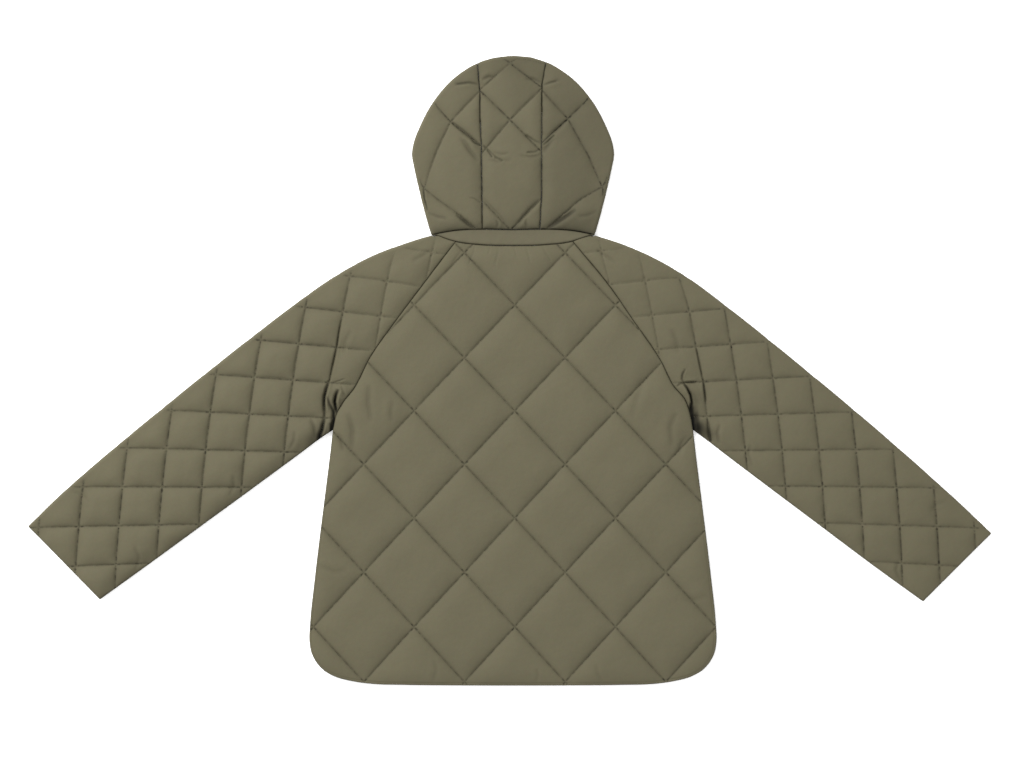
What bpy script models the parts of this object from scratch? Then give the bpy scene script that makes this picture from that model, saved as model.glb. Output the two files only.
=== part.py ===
"""Hooded raglan jacket, quilted over light wadding, laid flat on its front.

The back faces up, the neck points to +Y and the wearer's left is at -X.
The origin is on the floor, under the centre line, at mid length.
All tables are in millimetres. Each cloth piece is one closed wall, cut like its
pattern piece and, where it wraps an edge, folded round that edge.
"""
import math

import bpy
import numpy as np
from mathutils import Vector
from mathutils.geometry import delaunay_2d_cdt

MM = 0.001

# ---- Cloth and layering ----
MID = 4.6                # height of the plane between the two layers
SLIT = 0.2               # half of the air left between the layers
FOLD_REACH = 4.6         # how far a fold's round reaches in from the outline
SEAM_GAP = 0.18          # each piece stays this far inside its seam line
UNDER_WALL = 4.4         # lower layer, pressed flat by the weight above
UNDER_STITCH = 3.1       # lower layer under a quilting line
UNDER_EDGE = 2.6         # lower layer at a seam
TOP_STITCH = 2.6         # upper layer under a quilting line
TOP_EDGE = 2.4           # upper layer at a seam
BODY_LOFT = 8.0          # upper layer in the middle of a large diamond
SLEEVE_LOFT = 6.8        # upper layer in the middle of a small square
HOOD_LOFT = 7.6          # upper layer between the hood's lines
BAND_WALL = 3.8          # plain collar band

# ---- Body ----
BODY_EDGE = (            # half width, y: underarm to the middle of the hem
    (264.8, -87.5), (268.4, -118.0), (278.4, -198.0), (291.8, -308.0),
    (298.4, -372.0), (299.3, -398.0), (296.4, -415.0), (289.3, -429.0),
    (278.8, -440.5), (263.0, -449.6), (237.0, -456.8), (210.0, -460.6),
    (157.0, -462.4), (80.0, -463.1), (0.0, -463.3),
)
RAGLAN_BACK_LEFT = (     # x, y: underarm to the nape
    (-264.8, -87.5), (-258.5, -62.0), (-249.0, -46.0), (-235.7, -29.4),
    (-208.8, 21.3), (-173.5, 71.3), (-131.6, 127.2), (-84.3, 189.4),
)
RAGLAN_BACK_RIGHT = (
    (264.8, -87.5), (260.8, -66.0), (253.4, -43.4), (236.8, -23.5),
    (217.6, 14.0), (176.5, 74.3), (144.1, 121.3), (88.2, 189.4),
)
RAGLAN_FRONT = (         # half width, y: underarm to the front neck
    (264.8, -87.5), (250.0, -66.0), (226.0, -36.0), (190.0, 12.0),
    (152.0, 64.0), (120.0, 108.0), (95.0, 142.0),
)
NECK_BACK = (            # x, y: left neck point to right neck point
    (-119.5, 197.0), (-100.0, 192.8), (-84.3, 189.4), (-50.0, 184.9),
    (0.0, 183.4), (50.0, 184.9), (88.2, 189.4), (104.0, 193.2), (119.5, 197.0),
)
NECK_FRONT = (           # half width, y: neck point to centre front
    (115.5, 196.8), (110.0, 166.0), (95.0, 142.0), (60.0, 118.0),
    (25.0, 107.0), (0.0, 105.0),
)

# ---- Collar band: its hood seam ----
BAND_TOP_BACK = (        # x, y: left neck point to right neck point
    (-119.5, 201.0), (-95.6, 204.0), (-63.2, 207.4), (-45.2, 208.0),
    (0.0, 207.5), (39.7, 208.2), (62.0, 208.0), (102.9, 204.4), (119.5, 201.0),
)
BAND_TOP_FRONT = (       # half width, y: neck point to centre front
    (115.5, 201.0), (98.0, 173.0), (79.0, 155.0), (50.0, 141.0),
    (20.0, 132.0), (0.0, 130.0),
)
BAND_TIP = (113.6, 197.2, 200.8)   # half width, lower y, upper y of the band's fold
BAND_END = 1.2           # half of the gap between the band's ends

# ---- Placket and press studs ----
PLACKET_HALF = 20.0      # the fronts overlap by twice this
PLACKET_RAMP = 12.0      # padding thins to the placket over this width
PLACKET_WALL = 2.0
STUD_TOP_Y = 78.0
STUD_PITCH = 120.0
STUD_COUNT = 5
STUD_SIDES = 8
STUD_PROFILE = (         # radius, z: a closed stud, cap on the floor side
    (7.2, 0.0), (7.5, 0.3), (7.5, 0.9), (2.5, 0.9),
    (2.5, 3.5), (6.5, 3.5), (6.5, 4.1), (6.2, 4.4),
)
STUD_CLEAR = 0.35

# ---- Sleeves: cuff corner to neck point along the overarm fold ----
OVERARM_LEFT = (         # x, y
    (-713.2, -228.7), (-665.0, -182.0), (-595.0, -121.0), (-520.0, -59.0),
    (-440.0, 5.5), (-360.0, 68.0), (-295.0, 116.5), (-263.2, 138.0),
    (-236.8, 153.7), (-210.3, 167.2), (-183.8, 178.3), (-157.4, 187.4),
    (-119.5, 196.4),
)
OVERARM_RIGHT = (
    (703.7, -239.0), (655.0, -193.0), (585.0, -130.0), (510.0, -65.0),
    (430.0, 1.5), (350.0, 66.5), (296.0, 108.5), (266.2, 130.6),
    (239.7, 147.8), (213.2, 162.7), (186.8, 175.5), (160.3, 186.0),
    (119.5, 196.4),
)
UNDERSLEEVE_LEFT = (     # x, y: cuff to underarm
    (-607.4, -336.8), (-530.0, -281.0), (-450.0, -222.5), (-370.0, -164.0),
    (-310.0, -119.8), (-283.8, -100.2), (-264.8, -87.5),
)
UNDERSLEEVE_RIGHT = (
    (602.9, -339.7), (530.0, -287.0), (450.0, -227.0), (370.0, -167.0),
    (310.0, -121.6), (283.8, -101.4), (264.8, -87.5),
)

# ---- Hood ----
HOOD_EDGE = (            # half width, y: neck point to the top of the crown
    (121.0, 201.6), (129.4, 230.2), (138.2, 265.4), (146.2, 301.0),
    (149.0, 317.0), (146.8, 333.0), (136.8, 359.6), (117.6, 395.0),
    (86.8, 430.2), (68.0, 443.8), (50.0, 453.9), (26.0, 460.9), (0.0, 463.3),
)
HOOD_GUIDE = (           # the fold line carried on below the neck point
    (20.0, 95.0), (62.0, 107.0), (101.0, 132.0), (119.0, 160.0), (122.0, 185.0),
)
HOOD_SEAM_LEFT = (       # x, y: collar to crown
    (-45.2, 208.0), (-45.6, 270.0), (-46.5, 330.0), (-48.5, 374.0),
    (-48.6, 411.0), (-51.9, 447.0),
)
HOOD_SEAM_RIGHT = (
    (39.7, 208.2), (42.4, 270.0), (42.2, 330.0), (42.6, 379.0),
    (42.8, 421.0), (47.8, 449.0),
)
TUCK_Y = 381.0           # the crown turns under as far as this
FACE_EDGE = (            # half width, y: gusset's end to the collar
    (46.0, 381.0), (52.0, 330.0), (50.0, 260.0), (40.0, 200.0), (26.0, 133.8),
)
HOOD_POLE = (60.0, 320.0)  # the side panels' sections fan from this point

# ---- Quilting ----
DIAMOND_X = 74.0         # half diagonals of the body's diamonds
DIAMOND_Y = 76.6
DIAMOND_GROW = 0.28      # the rows open out slightly towards the hem
DIAMOND_ORIGIN = (2.9, 172.8)
SQUARE_LEFT = (          # origin, per column, per row, twist and bow, x then y
    (-451.6, 57.7, -6.3, 0.56, 0.64), (-116.9, -1.5, -55.1, 1.3, 0.17),
)
SQUARE_RIGHT = (
    (450.0, -54.1, 5.8, -0.3, -0.66), (-117.0, -0.5, -54.0, 1.14, 0.15),
)
GUSSET_LINES = (         # x, y runs on the upper layer, crossing on the middle
    ((-48.5, 411.0), (-4.4, 368.4), (42.1, 321.3)),
    ((42.8, 415.5), (-4.4, 368.4), (-46.6, 318.0)),
    ((-45.3, 250.0), (-6.0, 209.0)),
    ((40.5, 250.7), (-1.0, 209.0)),
    ((-48.6, 412.0), (-4.4, 451.5), (8.0, 462.0)),
    ((42.8, 415.5), (-4.4, 451.5), (-14.0, 461.0)),
)
SIDE_LINES_LEFT = (
    ((-117.0, 393.0), (-91.8, 365.4), (-46.6, 330.1)),
    ((-48.6, 411.0), (-91.8, 365.4), (-111.8, 322.8), (-125.0, 287.5), (-134.0, 252.0)),
    ((-141.0, 280.0), (-128.4, 265.4), (-110.3, 250.7), (-79.4, 228.7), (-54.4, 208.4)),
)
SIDE_LINES_RIGHT = (
    ((112.0, 400.0), (80.9, 369.9), (42.4, 334.6)),
    ((42.8, 411.6), (80.9, 369.9), (111.8, 314.0), (130.9, 269.9), (136.5, 256.0)),
    ((141.5, 283.1), (130.9, 269.9), (98.5, 250.7), (50.0, 208.6)),
)
SIDE_LINES_UNDER = (     # half width, y: the same lines carried on underneath
    ((117.0, 395.0), (86.0, 356.0), (52.0, 318.0)),
    ((134.0, 252.0), (112.0, 290.0), (84.0, 330.0), (47.0, 372.0)),
    ((141.0, 280.0), (104.0, 240.0), (70.0, 208.0), (39.0, 186.0)),
)

# ---- Facet sizes ----
STEP_SEAM = 27.0
STEP_HEM = 19.0          # body edge, which has the tight corners
STEP_CROWN = 18.0        # along the hood's fold
STEP_BODY = 26.0
STEP_FRONT = 40.0
STEP_SLEEVE = 27.0
STEP_HOOD = 25.0
HIDDEN_SCALE = 2.4       # facets of the hidden faces are this much larger
NECK_CHORDS = 14         # chords round the back neck and its hood seam
NECK_CHORDS_FRONT = 10   # chords from a neck point to the centre front
SAME_POINT = 0.5         # closer points of an outline are one


# ---- Plane curves ----
def mirrored(table):
    """The same run of points on the other side of the centre line."""
    return tuple((-x, y) for x, y in table)


def along(points):
    """Distance run at each point of a polyline."""
    steps = np.linalg.norm(np.diff(points, axis=0), axis=1)
    return np.concatenate(([0.0], np.cumsum(steps)))


def soft_curve(table, step, count=None):
    """Points at an even step on a smooth curve through a table's rows."""
    p = np.array(table, float)
    if len(p) < 3:
        dense = p
    else:
        run = along(p)
        slope = np.gradient(p, run, axis=0)
        dense = []
        for i in range(len(p) - 1):
            h = run[i + 1] - run[i]
            for t in np.linspace(0.0, 1.0, 13)[:-1]:
                a = 2 * t**3 - 3 * t**2 + 1
                b = t**3 - 2 * t**2 + t
                c = -2 * t**3 + 3 * t**2
                d = t**3 - t**2
                dense.append(a * p[i] + b * h * slope[i] + c * p[i + 1] + d * h * slope[i + 1])
        dense = np.array(dense + [p[-1]])
    run = along(dense)
    count = count or max(1, round(run[-1] / step))
    where = np.linspace(0.0, run[-1], count + 1)
    return np.column_stack([np.interp(where, run, dense[:, k]) for k in range(2)])


def kept_corners(table, step):
    """Points at about an even step that also hit every row of the table."""
    p = np.array(table, float)
    out = []
    for a, b in zip(p[:-1], p[1:]):
        count = max(1, round(np.linalg.norm(b - a) / step))
        out.extend(a + (b - a) * k / count for k in range(count))
    return np.array(out + [p[-1]])


def part_between(curve, x0, x1):
    """The points of a curve that runs in x, cut off at x0 and x1."""
    ys = np.interp([x0, x1], curve[:, 0], curve[:, 1])
    first, last = np.array([x0, ys[0]]), np.array([x1, ys[1]])
    inner = curve[(curve[:, 0] > x0) & (curve[:, 0] < x1)]
    inner = [p for p in inner if min(np.hypot(*(p - first)), np.hypot(*(p - last))) > 3.0]
    return np.vstack([[first], inner, [last]])


def joined(*runs):
    """One closed outline from runs of points that follow each other."""
    out = []
    for run in runs:
        for p in run:
            if not out or np.hypot(*(np.array(p) - out[-1])) > SAME_POINT:
                out.append(np.array(p, float))
    if np.hypot(*(out[0] - out[-1])) < SAME_POINT:
        out.pop()
    return np.array(out)


def signed_area(poly):
    x, y = poly[:, 0], poly[:, 1]
    return 0.5 * float(np.sum(x * np.roll(y, -1) - y * np.roll(x, -1)))


def inset(poly, gap):
    """The outline moved in by the seam gap, with true corners."""
    ahead = np.roll(poly, -1, axis=0) - poly
    ahead /= np.linalg.norm(ahead, axis=1)[:, None]
    normal = np.column_stack([-ahead[:, 1], ahead[:, 0]])
    before = np.roll(normal, 1, axis=0)
    mitre = normal + before
    mitre /= np.maximum(np.sum(mitre * normal, axis=1), 0.3)[:, None]
    return poly + gap * mitre


def inside(points, poly):
    """Which points lie in the outline, by counting crossings."""
    x, y = points[:, 0][:, None], points[:, 1][:, None]
    ax, ay = poly[:, 0][None], poly[:, 1][None]
    bx, by = np.roll(poly[:, 0], -1)[None], np.roll(poly[:, 1], -1)[None]
    level = (ay > y) != (by > y)
    rise = np.where(by == ay, 1.0, by - ay)
    hit = level & (x < (bx - ax) * (y - ay) / rise + ax)
    return np.count_nonzero(hit, axis=1) % 2 == 1


def distance(points, segments):
    """Least distance from each point to a set of segments."""
    if not len(segments):
        return np.full(len(points), 1e6)
    seg = np.array(segments, float)
    a, d = seg[:, 0], seg[:, 1] - seg[:, 0]
    length2 = np.maximum(np.sum(d * d, axis=1), 1e-12)
    rel = points[:, None, :] - a[None]
    t = np.clip(np.sum(rel * d[None], axis=2) / length2[None], 0.0, 1.0)
    off = rel - t[:, :, None] * d[None]
    return np.sqrt(np.sum(off * off, axis=2)).min(axis=1)


def crossing(a, b, c, d):
    """Where segment ab meets segment cd, as the two fractions, or None."""
    r, s = b - a, d - c
    den = r[0] * s[1] - r[1] * s[0]
    if abs(den) < 1e-9:
        return None
    q = c - a
    t = (q[0] * s[1] - q[1] * s[0]) / den
    w = (q[0] * r[1] - q[1] * r[0]) / den
    if 0.0 < t < 1.0 and 0.0 <= w < 1.0:
        return t, w
    return None


def clip_lines(poly, lines, snap):
    """Cut lines to an outline, and give the outline a corner at each cut."""
    extra = {}
    kept = []
    for line in lines:
        for a, b in zip(line[:-1], line[1:]):
            a, b = np.array(a, float), np.array(b, float)
            cuts = [(0.0, a), (1.0, b)]
            for k in range(len(poly)):
                c, d = poly[k], poly[(k + 1) % len(poly)]
                hit = crossing(a, b, c, d)
                if hit is None:
                    continue
                point = c + (d - c) * hit[1]
                near = [e for e in (c, d) if np.hypot(*(e - point)) < snap]
                near += [e for _, e in extra.get(k, []) if np.hypot(*(e - point)) < snap]
                if near:
                    point = near[0]
                else:
                    extra.setdefault(k, []).append((hit[1], point))
                cuts.append((hit[0], point))
            cuts.sort(key=lambda c: c[0])
            for (t0, p), (t1, q) in zip(cuts[:-1], cuts[1:]):
                middle = a + (b - a) * 0.5 * (t0 + t1)
                if np.hypot(*(q - p)) > 1e-6 and inside(middle[None], poly)[0]:
                    kept.append((p, q))
    rich = []
    for k in range(len(poly)):
        rich.append(poly[k])
        rich.extend(p for _, p in sorted(extra.get(k, []), key=lambda e: e[0]))
    return np.array(rich), kept


def fill_points(poly, step):
    """Staggered rows of points that cover an outline."""
    lo, hi = poly.min(axis=0), poly.max(axis=0)
    rows = []
    y, odd = lo[1] + 0.43 * step, 0
    while y < hi[1]:
        xs = np.arange(lo[0] + (0.25 + 0.5 * odd) * step, hi[0], step)
        rows.append(np.column_stack([xs, np.full(len(xs), y)]))
        y += 0.866 * step
        odd = 1 - odd
    points = np.vstack(rows)
    return points[inside(points, poly)]


def shared_out(p, q, step):
    """A segment cut into equal lengths no longer than about a step."""
    count = max(1, round(np.hypot(*(q - p)) / step))
    marks = [p + (q - p) * k / count for k in range(count + 1)]
    return list(zip(marks[:-1], marks[1:]))


def triangulate(poly, holes, segments, fill, step, clear):
    """Triangles that fill an outline and hold its lines as edges."""
    points = [tuple(p) for p in poly]
    edges = [(k, (k + 1) % len(poly)) for k in range(len(poly))]
    for ring in holes:
        first = len(points)
        points.extend(tuple(p) for p in ring)
        edges.extend((first + k, first + (k + 1) % len(ring)) for k in range(len(ring)))
    walls = [(poly[k], poly[(k + 1) % len(poly)]) for k in range(len(poly))]
    for ring in holes:
        walls.extend((ring[k], ring[(k + 1) % len(ring)]) for k in range(len(ring)))
    for p, q in segments:
        count = max(1, round(np.hypot(*(q - p)) / step))
        first = len(points)
        points.extend(tuple(p + (q - p) * k / count) for k in range(count + 1))
        edges.extend((first + k, first + k + 1) for k in range(count))
    if len(fill):
        far = distance(fill, walls + list(segments)) > clear
        for ring in holes:
            far &= ~inside(fill, ring)
        points.extend(tuple(p) for p in fill[far])
    flat = [Vector((float(x), float(y))) for x, y in points]
    verts, _, faces, origin, _, _ = delaunay_2d_cdt(flat, edges, [], 0, 1e-5, True)
    verts = np.array([tuple(v) for v in verts])
    named = {}
    for index, sources in enumerate(origin):
        for s in sources:
            named[s] = index
    rims = [[named[k] for k in range(len(poly))]]
    first = len(poly)
    for ring in holes:
        rims.append([named[first + k] for k in range(len(ring))])
        first += len(ring)
    return verts, enclosed(verts, [list(f) for f in faces], rims), rims


def enclosed(verts, faces, rims):
    """The triangles reached from the largest one without crossing a rim."""
    wall = set()
    for ring in rims:
        wall.update(frozenset(pair) for pair in zip(ring, ring[1:] + ring[:1]))
    beside = {}
    for index, face in enumerate(faces):
        for pair in zip(face, face[1:] + face[:1]):
            beside.setdefault(frozenset(pair), []).append(index)
    centres = np.array([verts[f].mean(axis=0) for f in faces])
    within = inside(centres, verts[rims[0]])
    for ring in rims[1:]:
        within &= ~inside(centres, verts[ring])
    sizes = [abs(signed_area(verts[f])) if ok else 0.0 for f, ok in zip(faces, within)]
    stack = [int(np.argmax(sizes))]
    reached = set(stack)
    while stack:
        face = faces[stack.pop()]
        for pair in zip(face, face[1:] + face[:1]):
            key = frozenset(pair)
            if key in wall:
                continue
            for other in beside[key]:
                if other not in reached:
                    reached.add(other)
                    stack.append(other)
    return [faces[k] for k in sorted(reached)]


# ---- Charts: from a piece's own flat pattern to its place ----
class FlatLayer:
    """A piece that lies in one layer, with no fold."""

    def __init__(self, side):
        self.side = side

    def flat(self, points):
        return np.array(points, float)

    def place(self, p, wall):
        inner = MID + self.side * SLIT
        outer = inner + self.side * wall
        return (p[0], p[1], outer), (p[0], p[1], inner)

    def rows(self):
        return []


class FrontLayer(FlatLayer):
    """A front, thinned to the placket where the two fronts overlap."""

    def __init__(self, hand):
        super().__init__(-1)
        self.hand = hand        # -1 wearer's left, over; +1 right, under the stack

    def place(self, p, wall):
        outer, inner = super().place(p, wall)
        start = PLACKET_HALF + 1.0
        t = (self.hand * p[0] - start) / PLACKET_RAMP
        t = min(max(t, 0.0), 1.0)
        full = MID - SLIT
        if self.hand > 0:
            inner = (p[0], p[1], PLACKET_WALL + (full - PLACKET_WALL) * t)
            outer = (p[0], p[1], min(outer[2], inner[2] - 1.4))
        else:
            floor = (full - PLACKET_WALL) * (1.0 - t)
            outer = (p[0], p[1], min(max(outer[2], floor), full - 1.4))
        return outer, inner

    def rows(self):
        out = []
        for off in (1.0, 1.0 + PLACKET_RAMP):
            x = self.hand * (PLACKET_HALF + off)
            out.append([(x, -600.0), (x, 300.0)])
        return out


class FoldedLayers:
    """A piece folded round the outline. v > 0 is the upper layer, v < 0 the lower."""

    def __init__(self, outline, lead, ray, fold_step):
        self.fold_step = fold_step
        self.lead = lead / np.linalg.norm(lead, axis=1)[:, None]
        self.base = outline + FOLD_REACH * self.lead
        self.ray = ray(self.base)
        self.ray /= np.linalg.norm(self.ray, axis=1)[:, None]
        self.run = along(outline)
        self.arc = 0.5 * math.pi * 0.5 * FOLD_REACH

    def at(self, table, u):
        return np.array([np.interp(u, self.run, table[:, k]) for k in range(2)])

    def turn(self, u, p):
        b, g = self.at(self.base, u), self.at(self.ray, u)
        return (p[0] - b[0]) * g[1] - (p[1] - b[1]) * g[0]

    def flat_point(self, p, side):
        """Flat coordinates of a plan point of one layer."""
        b, g = self.base, self.ray
        turns = (p[0] - b[:, 0]) * g[:, 1] - (p[1] - b[:, 1]) * g[:, 0]
        best = None
        for k in np.nonzero(turns[:-1] * turns[1:] <= 0.0)[0]:
            lo, hi = self.run[k], self.run[k + 1]
            sign = 1.0 if self.turn(lo, p) <= self.turn(hi, p) else -1.0
            for _ in range(48):
                mid = 0.5 * (lo + hi)
                if sign * self.turn(mid, p) < 0.0:
                    lo = mid
                else:
                    hi = mid
            u = 0.5 * (lo + hi)
            g = self.at(self.ray, u)
            reach = float(np.dot(p - self.at(self.base, u), g / np.linalg.norm(g)))
            if reach > -8.0 and (best is None or reach < best[1]):
                best = (u, reach)
        u, reach = best
        return np.array([u, side * (self.arc + max(reach, 0.0))])

    def flat(self, points, side=1):
        return np.array([self.flat_point(np.array(p, float), side) for p in points])

    def bend(self, u, start, end):
        """The five flat points across the fold at one station."""
        levels = np.linspace(start, end, 5) * self.arc
        return np.array([(u, v) for v in levels])

    def place(self, p, wall):
        u, v = float(p[0]), float(p[1])
        side = 1.0 if v >= 0.0 else -1.0
        base, lead, ray = (self.at(t, u) for t in (self.base, self.lead, self.ray))
        ray = ray / np.linalg.norm(ray)
        if abs(v) < self.arc:
            turn = abs(v) / self.arc * 0.5 * math.pi
            back, up = math.cos(turn), side * math.sin(turn)
            outer = base - (SLIT + wall) * back * lead
            inner = base - SLIT * back * lead
            return (*outer, MID + (SLIT + wall) * up), (*inner, MID + SLIT * up)
        q = base + (abs(v) - self.arc) * ray
        inner = MID + side * SLIT
        return (*q, inner + side * wall), (*q, inner)

    def rows(self):
        ends = (float(self.run[0]), float(self.run[-1]))
        levels = (-1.0, -0.5, 0.0, 0.5, 1.0)
        return [[(ends[0], k * self.arc), (ends[1], k * self.arc)] for k in levels]


def facing(curve, turn):
    """Unit vectors square to a curve, on its left for +1."""
    t = np.gradient(curve, along(curve), axis=0)
    n = np.column_stack([-t[:, 1], t[:, 0]]) * turn
    return n / np.linalg.norm(n, axis=1)[:, None]


def eased(lead, run, station, target, reach):
    """Swing the fold's direction to a given one near a station."""
    w = np.clip(1.0 - np.abs(run - station) / reach, 0.0, 1.0)
    w = (w * w * (3.0 - 2.0 * w))[:, None]
    return lead * (1.0 - w) + np.array(target, float)[None] * w


# ---- Walls ----
def wall_for(chart, verts, quilting, rim, loft, span):
    """Wall thickness at each flat point: thin on lines and seams, full between."""
    to_line = distance(verts, quilting)
    to_rim = distance(verts, rim)
    walls = []
    for p, line, edge in zip(verts, to_line, to_rim):
        folded = isinstance(chart, FoldedLayers)
        lower = p[1] < 0.0 if folded else chart.side < 0
        if lower:
            wall = UNDER_WALL
            wall = min(wall, UNDER_STITCH + (UNDER_WALL - UNDER_STITCH) * min(line / 6.0, 1.0))
            wall = min(wall, UNDER_EDGE + (UNDER_WALL - UNDER_EDGE) * min(edge / 6.0, 1.0))
        else:
            x = min(line / span, 1.0)
            y = min(edge / span, 1.0)
            wall = TOP_STITCH + (loft - TOP_STITCH) * (1.0 - (1.0 - x) ** 3)
            wall = min(wall, TOP_EDGE + (loft - TOP_EDGE) * (1.0 - (1.0 - y) ** 3))
            if folded:
                wall = min(wall, UNDER_WALL + (loft - UNDER_WALL) * min(p[1] / 45.0, 1.0))
        walls.append(wall)
    return walls


def build_piece(name, chart, outline, quilting, finish, step, loft, span, holes=()):
    """One closed wall from a flat outline. A hole is a centre and a stepped profile."""
    poly = outline if signed_area(outline) > 0 else outline[::-1]
    poly = inset(poly, SEAM_GAP)
    rows = chart.rows()
    poly, creases = clip_lines(poly, rows, 1.2)
    poly, stitched = clip_lines(poly, quilting, 4.0)
    if isinstance(chart, FrontLayer):
        limit = PLACKET_HALF + 1.0 + PLACKET_RAMP
        stitched = [s for s in stitched if chart.hand * 0.5 * (s[0][0] + s[1][0]) > limit]
    rim = [(poly[k], poly[(k + 1) % len(poly)]) for k in range(len(poly))]
    outer_rings = [circle(c, profile[0][0]) for c, profile in holes]
    inner_rings = [circle(c, profile[-1][0]) for c, profile in holes]
    fill = fill_points(poly, step)
    if isinstance(chart, FoldedLayers):
        creases = [piece for p, q in creases for piece in shared_out(p, q, chart.fold_step)]
    ov, of, orims = triangulate(poly, outer_rings, stitched + creases, fill, step, 0.52 * step)
    sparse = fill_points(poly, HIDDEN_SCALE * step)
    iv, inf, irims = triangulate(poly, inner_rings, creases, sparse, step, 0.8 * step)
    outer_wall = wall_for(chart, ov, stitched, rim, loft, span)
    inner_wall = wall_for(chart, iv, [], [], loft, span)
    points = [chart.place(p, w)[0] for p, w in zip(ov, outer_wall)]
    start = len(points)
    points += [chart.place(p, w)[1] for p, w in zip(iv, inner_wall)]
    faces = list(of) + [[start + k for k in reversed(f)] for f in inf]
    bridge(faces, orims[0], [start + k for k in irims[0]])
    for (centre, profile), top, low in zip(holes, orims[1:], irims[1:]):
        last = top[::-1]
        for radius, z in profile[1:-1]:
            ring = []
            for p in circle(centre, radius)[::-1]:
                ring.append(len(points))
                points.append((p[0], p[1], z))
            bridge(faces, last, ring)
            last = ring
        bridge(faces, last, [start + k for k in low[::-1]])
    return make_object(name, points, faces, finish)


def circle(centre, radius):
    turns = [2.0 * math.pi * k / STUD_SIDES for k in range(STUD_SIDES)]
    return np.array([(centre[0] + radius * math.cos(a), centre[1] + radius * math.sin(a)) for a in turns])


def bridge(faces, ring, other):
    """Quads, as triangle pairs, from one ring to the next."""
    n = len(ring)
    for k in range(n):
        a, b = ring[k], ring[(k + 1) % n]
        c, d = other[k], other[(k + 1) % n]
        faces.append([b, a, c])
        faces.append([b, c, d])


def make_object(name, points, faces, finish):
    """A named object from millimetre points, turned right side out."""
    coords = np.array(points, float)
    tri = np.array([f[:3] for f in faces])
    a, b, c = coords[tri[:, 0]], coords[tri[:, 1]], coords[tri[:, 2]]
    volume = float(np.sum(a * np.cross(b, c))) / 6.0
    if volume < 0.0:
        faces = [f[::-1] for f in faces]
    mesh = bpy.data.meshes.new(name)
    mesh.from_pydata([tuple(p * MM) for p in coords], [], faces)
    mesh.update()
    mesh.shade_smooth()
    mesh.set_sharp_from_angle(angle=math.radians(24.0))
    mesh.materials.append(finish)
    obj = bpy.data.objects.new(name, mesh)
    bpy.context.scene.collection.objects.link(obj)
    return obj


def new_finish(name, colour, roughness, metallic):
    material = bpy.data.materials.new(name)
    material.use_nodes = True
    shader = material.node_tree.nodes["Principled BSDF"]
    shader.inputs["Base Color"].default_value = (*colour, 1.0)
    shader.inputs["Roughness"].default_value = roughness
    shader.inputs["Metallic"].default_value = metallic
    material.diffuse_color = (*colour, 1.0)
    return material


# ---- Quilting lines ----
def diamond_lines():
    """Both families of body lines, each through its own crossings."""
    def crossing_at(i, j):
        x = DIAMOND_ORIGIN[0] + DIAMOND_X * i
        y = DIAMOND_ORIGIN[1] - DIAMOND_Y * j - DIAMOND_GROW * j * j
        return x, y

    lines = []
    for start in range(-13, 14):
        for way in (-1, 1):
            run = []
            for j in range(-1, 10):
                i = start + way * j
                if abs(i) <= 6:
                    run.append(crossing_at(i, j))
            if len(run) > 1 and start % 2 == 1:
                lines.append(run)
    return lines


def square_lines(sizes):
    """Both families of sleeve lines on the upper layer."""
    def crossing_at(i, j):
        u, v = i - 4, j - 7
        one, col, row, twist, bow = sizes[0]
        x = one + col * u + row * v + twist * u * v + bow * v * v
        one, col, row, twist, bow = sizes[1]
        y = one + col * u + row * v + twist * u * v + bow * v * v
        return np.array((x, y))

    columns = [[crossing_at(i, j) for j in np.arange(-1, 13, 0.5)] for i in range(-2, 12)]
    rows = [[crossing_at(i, j) for i in np.arange(-3, 13, 0.5)] for j in range(0, 12)]
    return columns + rows


def carried_over(chart, lines, reach):
    """Upper-layer lines in flat coordinates, carried straight on past the fold."""
    out = []
    for line in lines:
        flat = []
        for p in line:
            q = np.array(p, float)
            near = np.argmin(np.linalg.norm(chart.base - q, axis=1))
            if near in (0, len(chart.base) - 1):
                continue
            depth = float(np.dot(q - chart.base[near], chart.ray[near]))
            if depth > 2.0:
                flat.append(chart.flat_point(q, 1))
        if len(flat) < 2:
            continue
        ends = [(flat[0], flat[0] - flat[1]), (flat[-1], flat[-1] - flat[-2])]
        for where, (tip, way) in zip((0, len(flat)), ends):
            if way[1] < 0.0 and abs(way[1]) > 0.2 * np.hypot(*way):
                far = tip + way / np.hypot(*way) * reach
                flat = [far] + flat if where == 0 else flat + [far]
        out.append(flat)
    return out


# ---- The pieces ----
def body_outline(raglan_left, raglan_right, neck):
    """Closed outline of a body layer, from the left underarm round the hem."""
    hem_left = soft_curve(mirrored(BODY_EDGE), STEP_HEM)
    hem_right = soft_curve(BODY_EDGE, STEP_HEM)[::-1]
    return joined(hem_left, hem_right, raglan_right, neck[::-1], raglan_left[::-1])


def build_back(finish, seams):
    outline = body_outline(seams["back_left"], seams["back_right"], seams["nape"])
    build_piece("back", FlatLayer(1), outline, diamond_lines(), finish, STEP_BODY, BODY_LOFT, 46.0)


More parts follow.
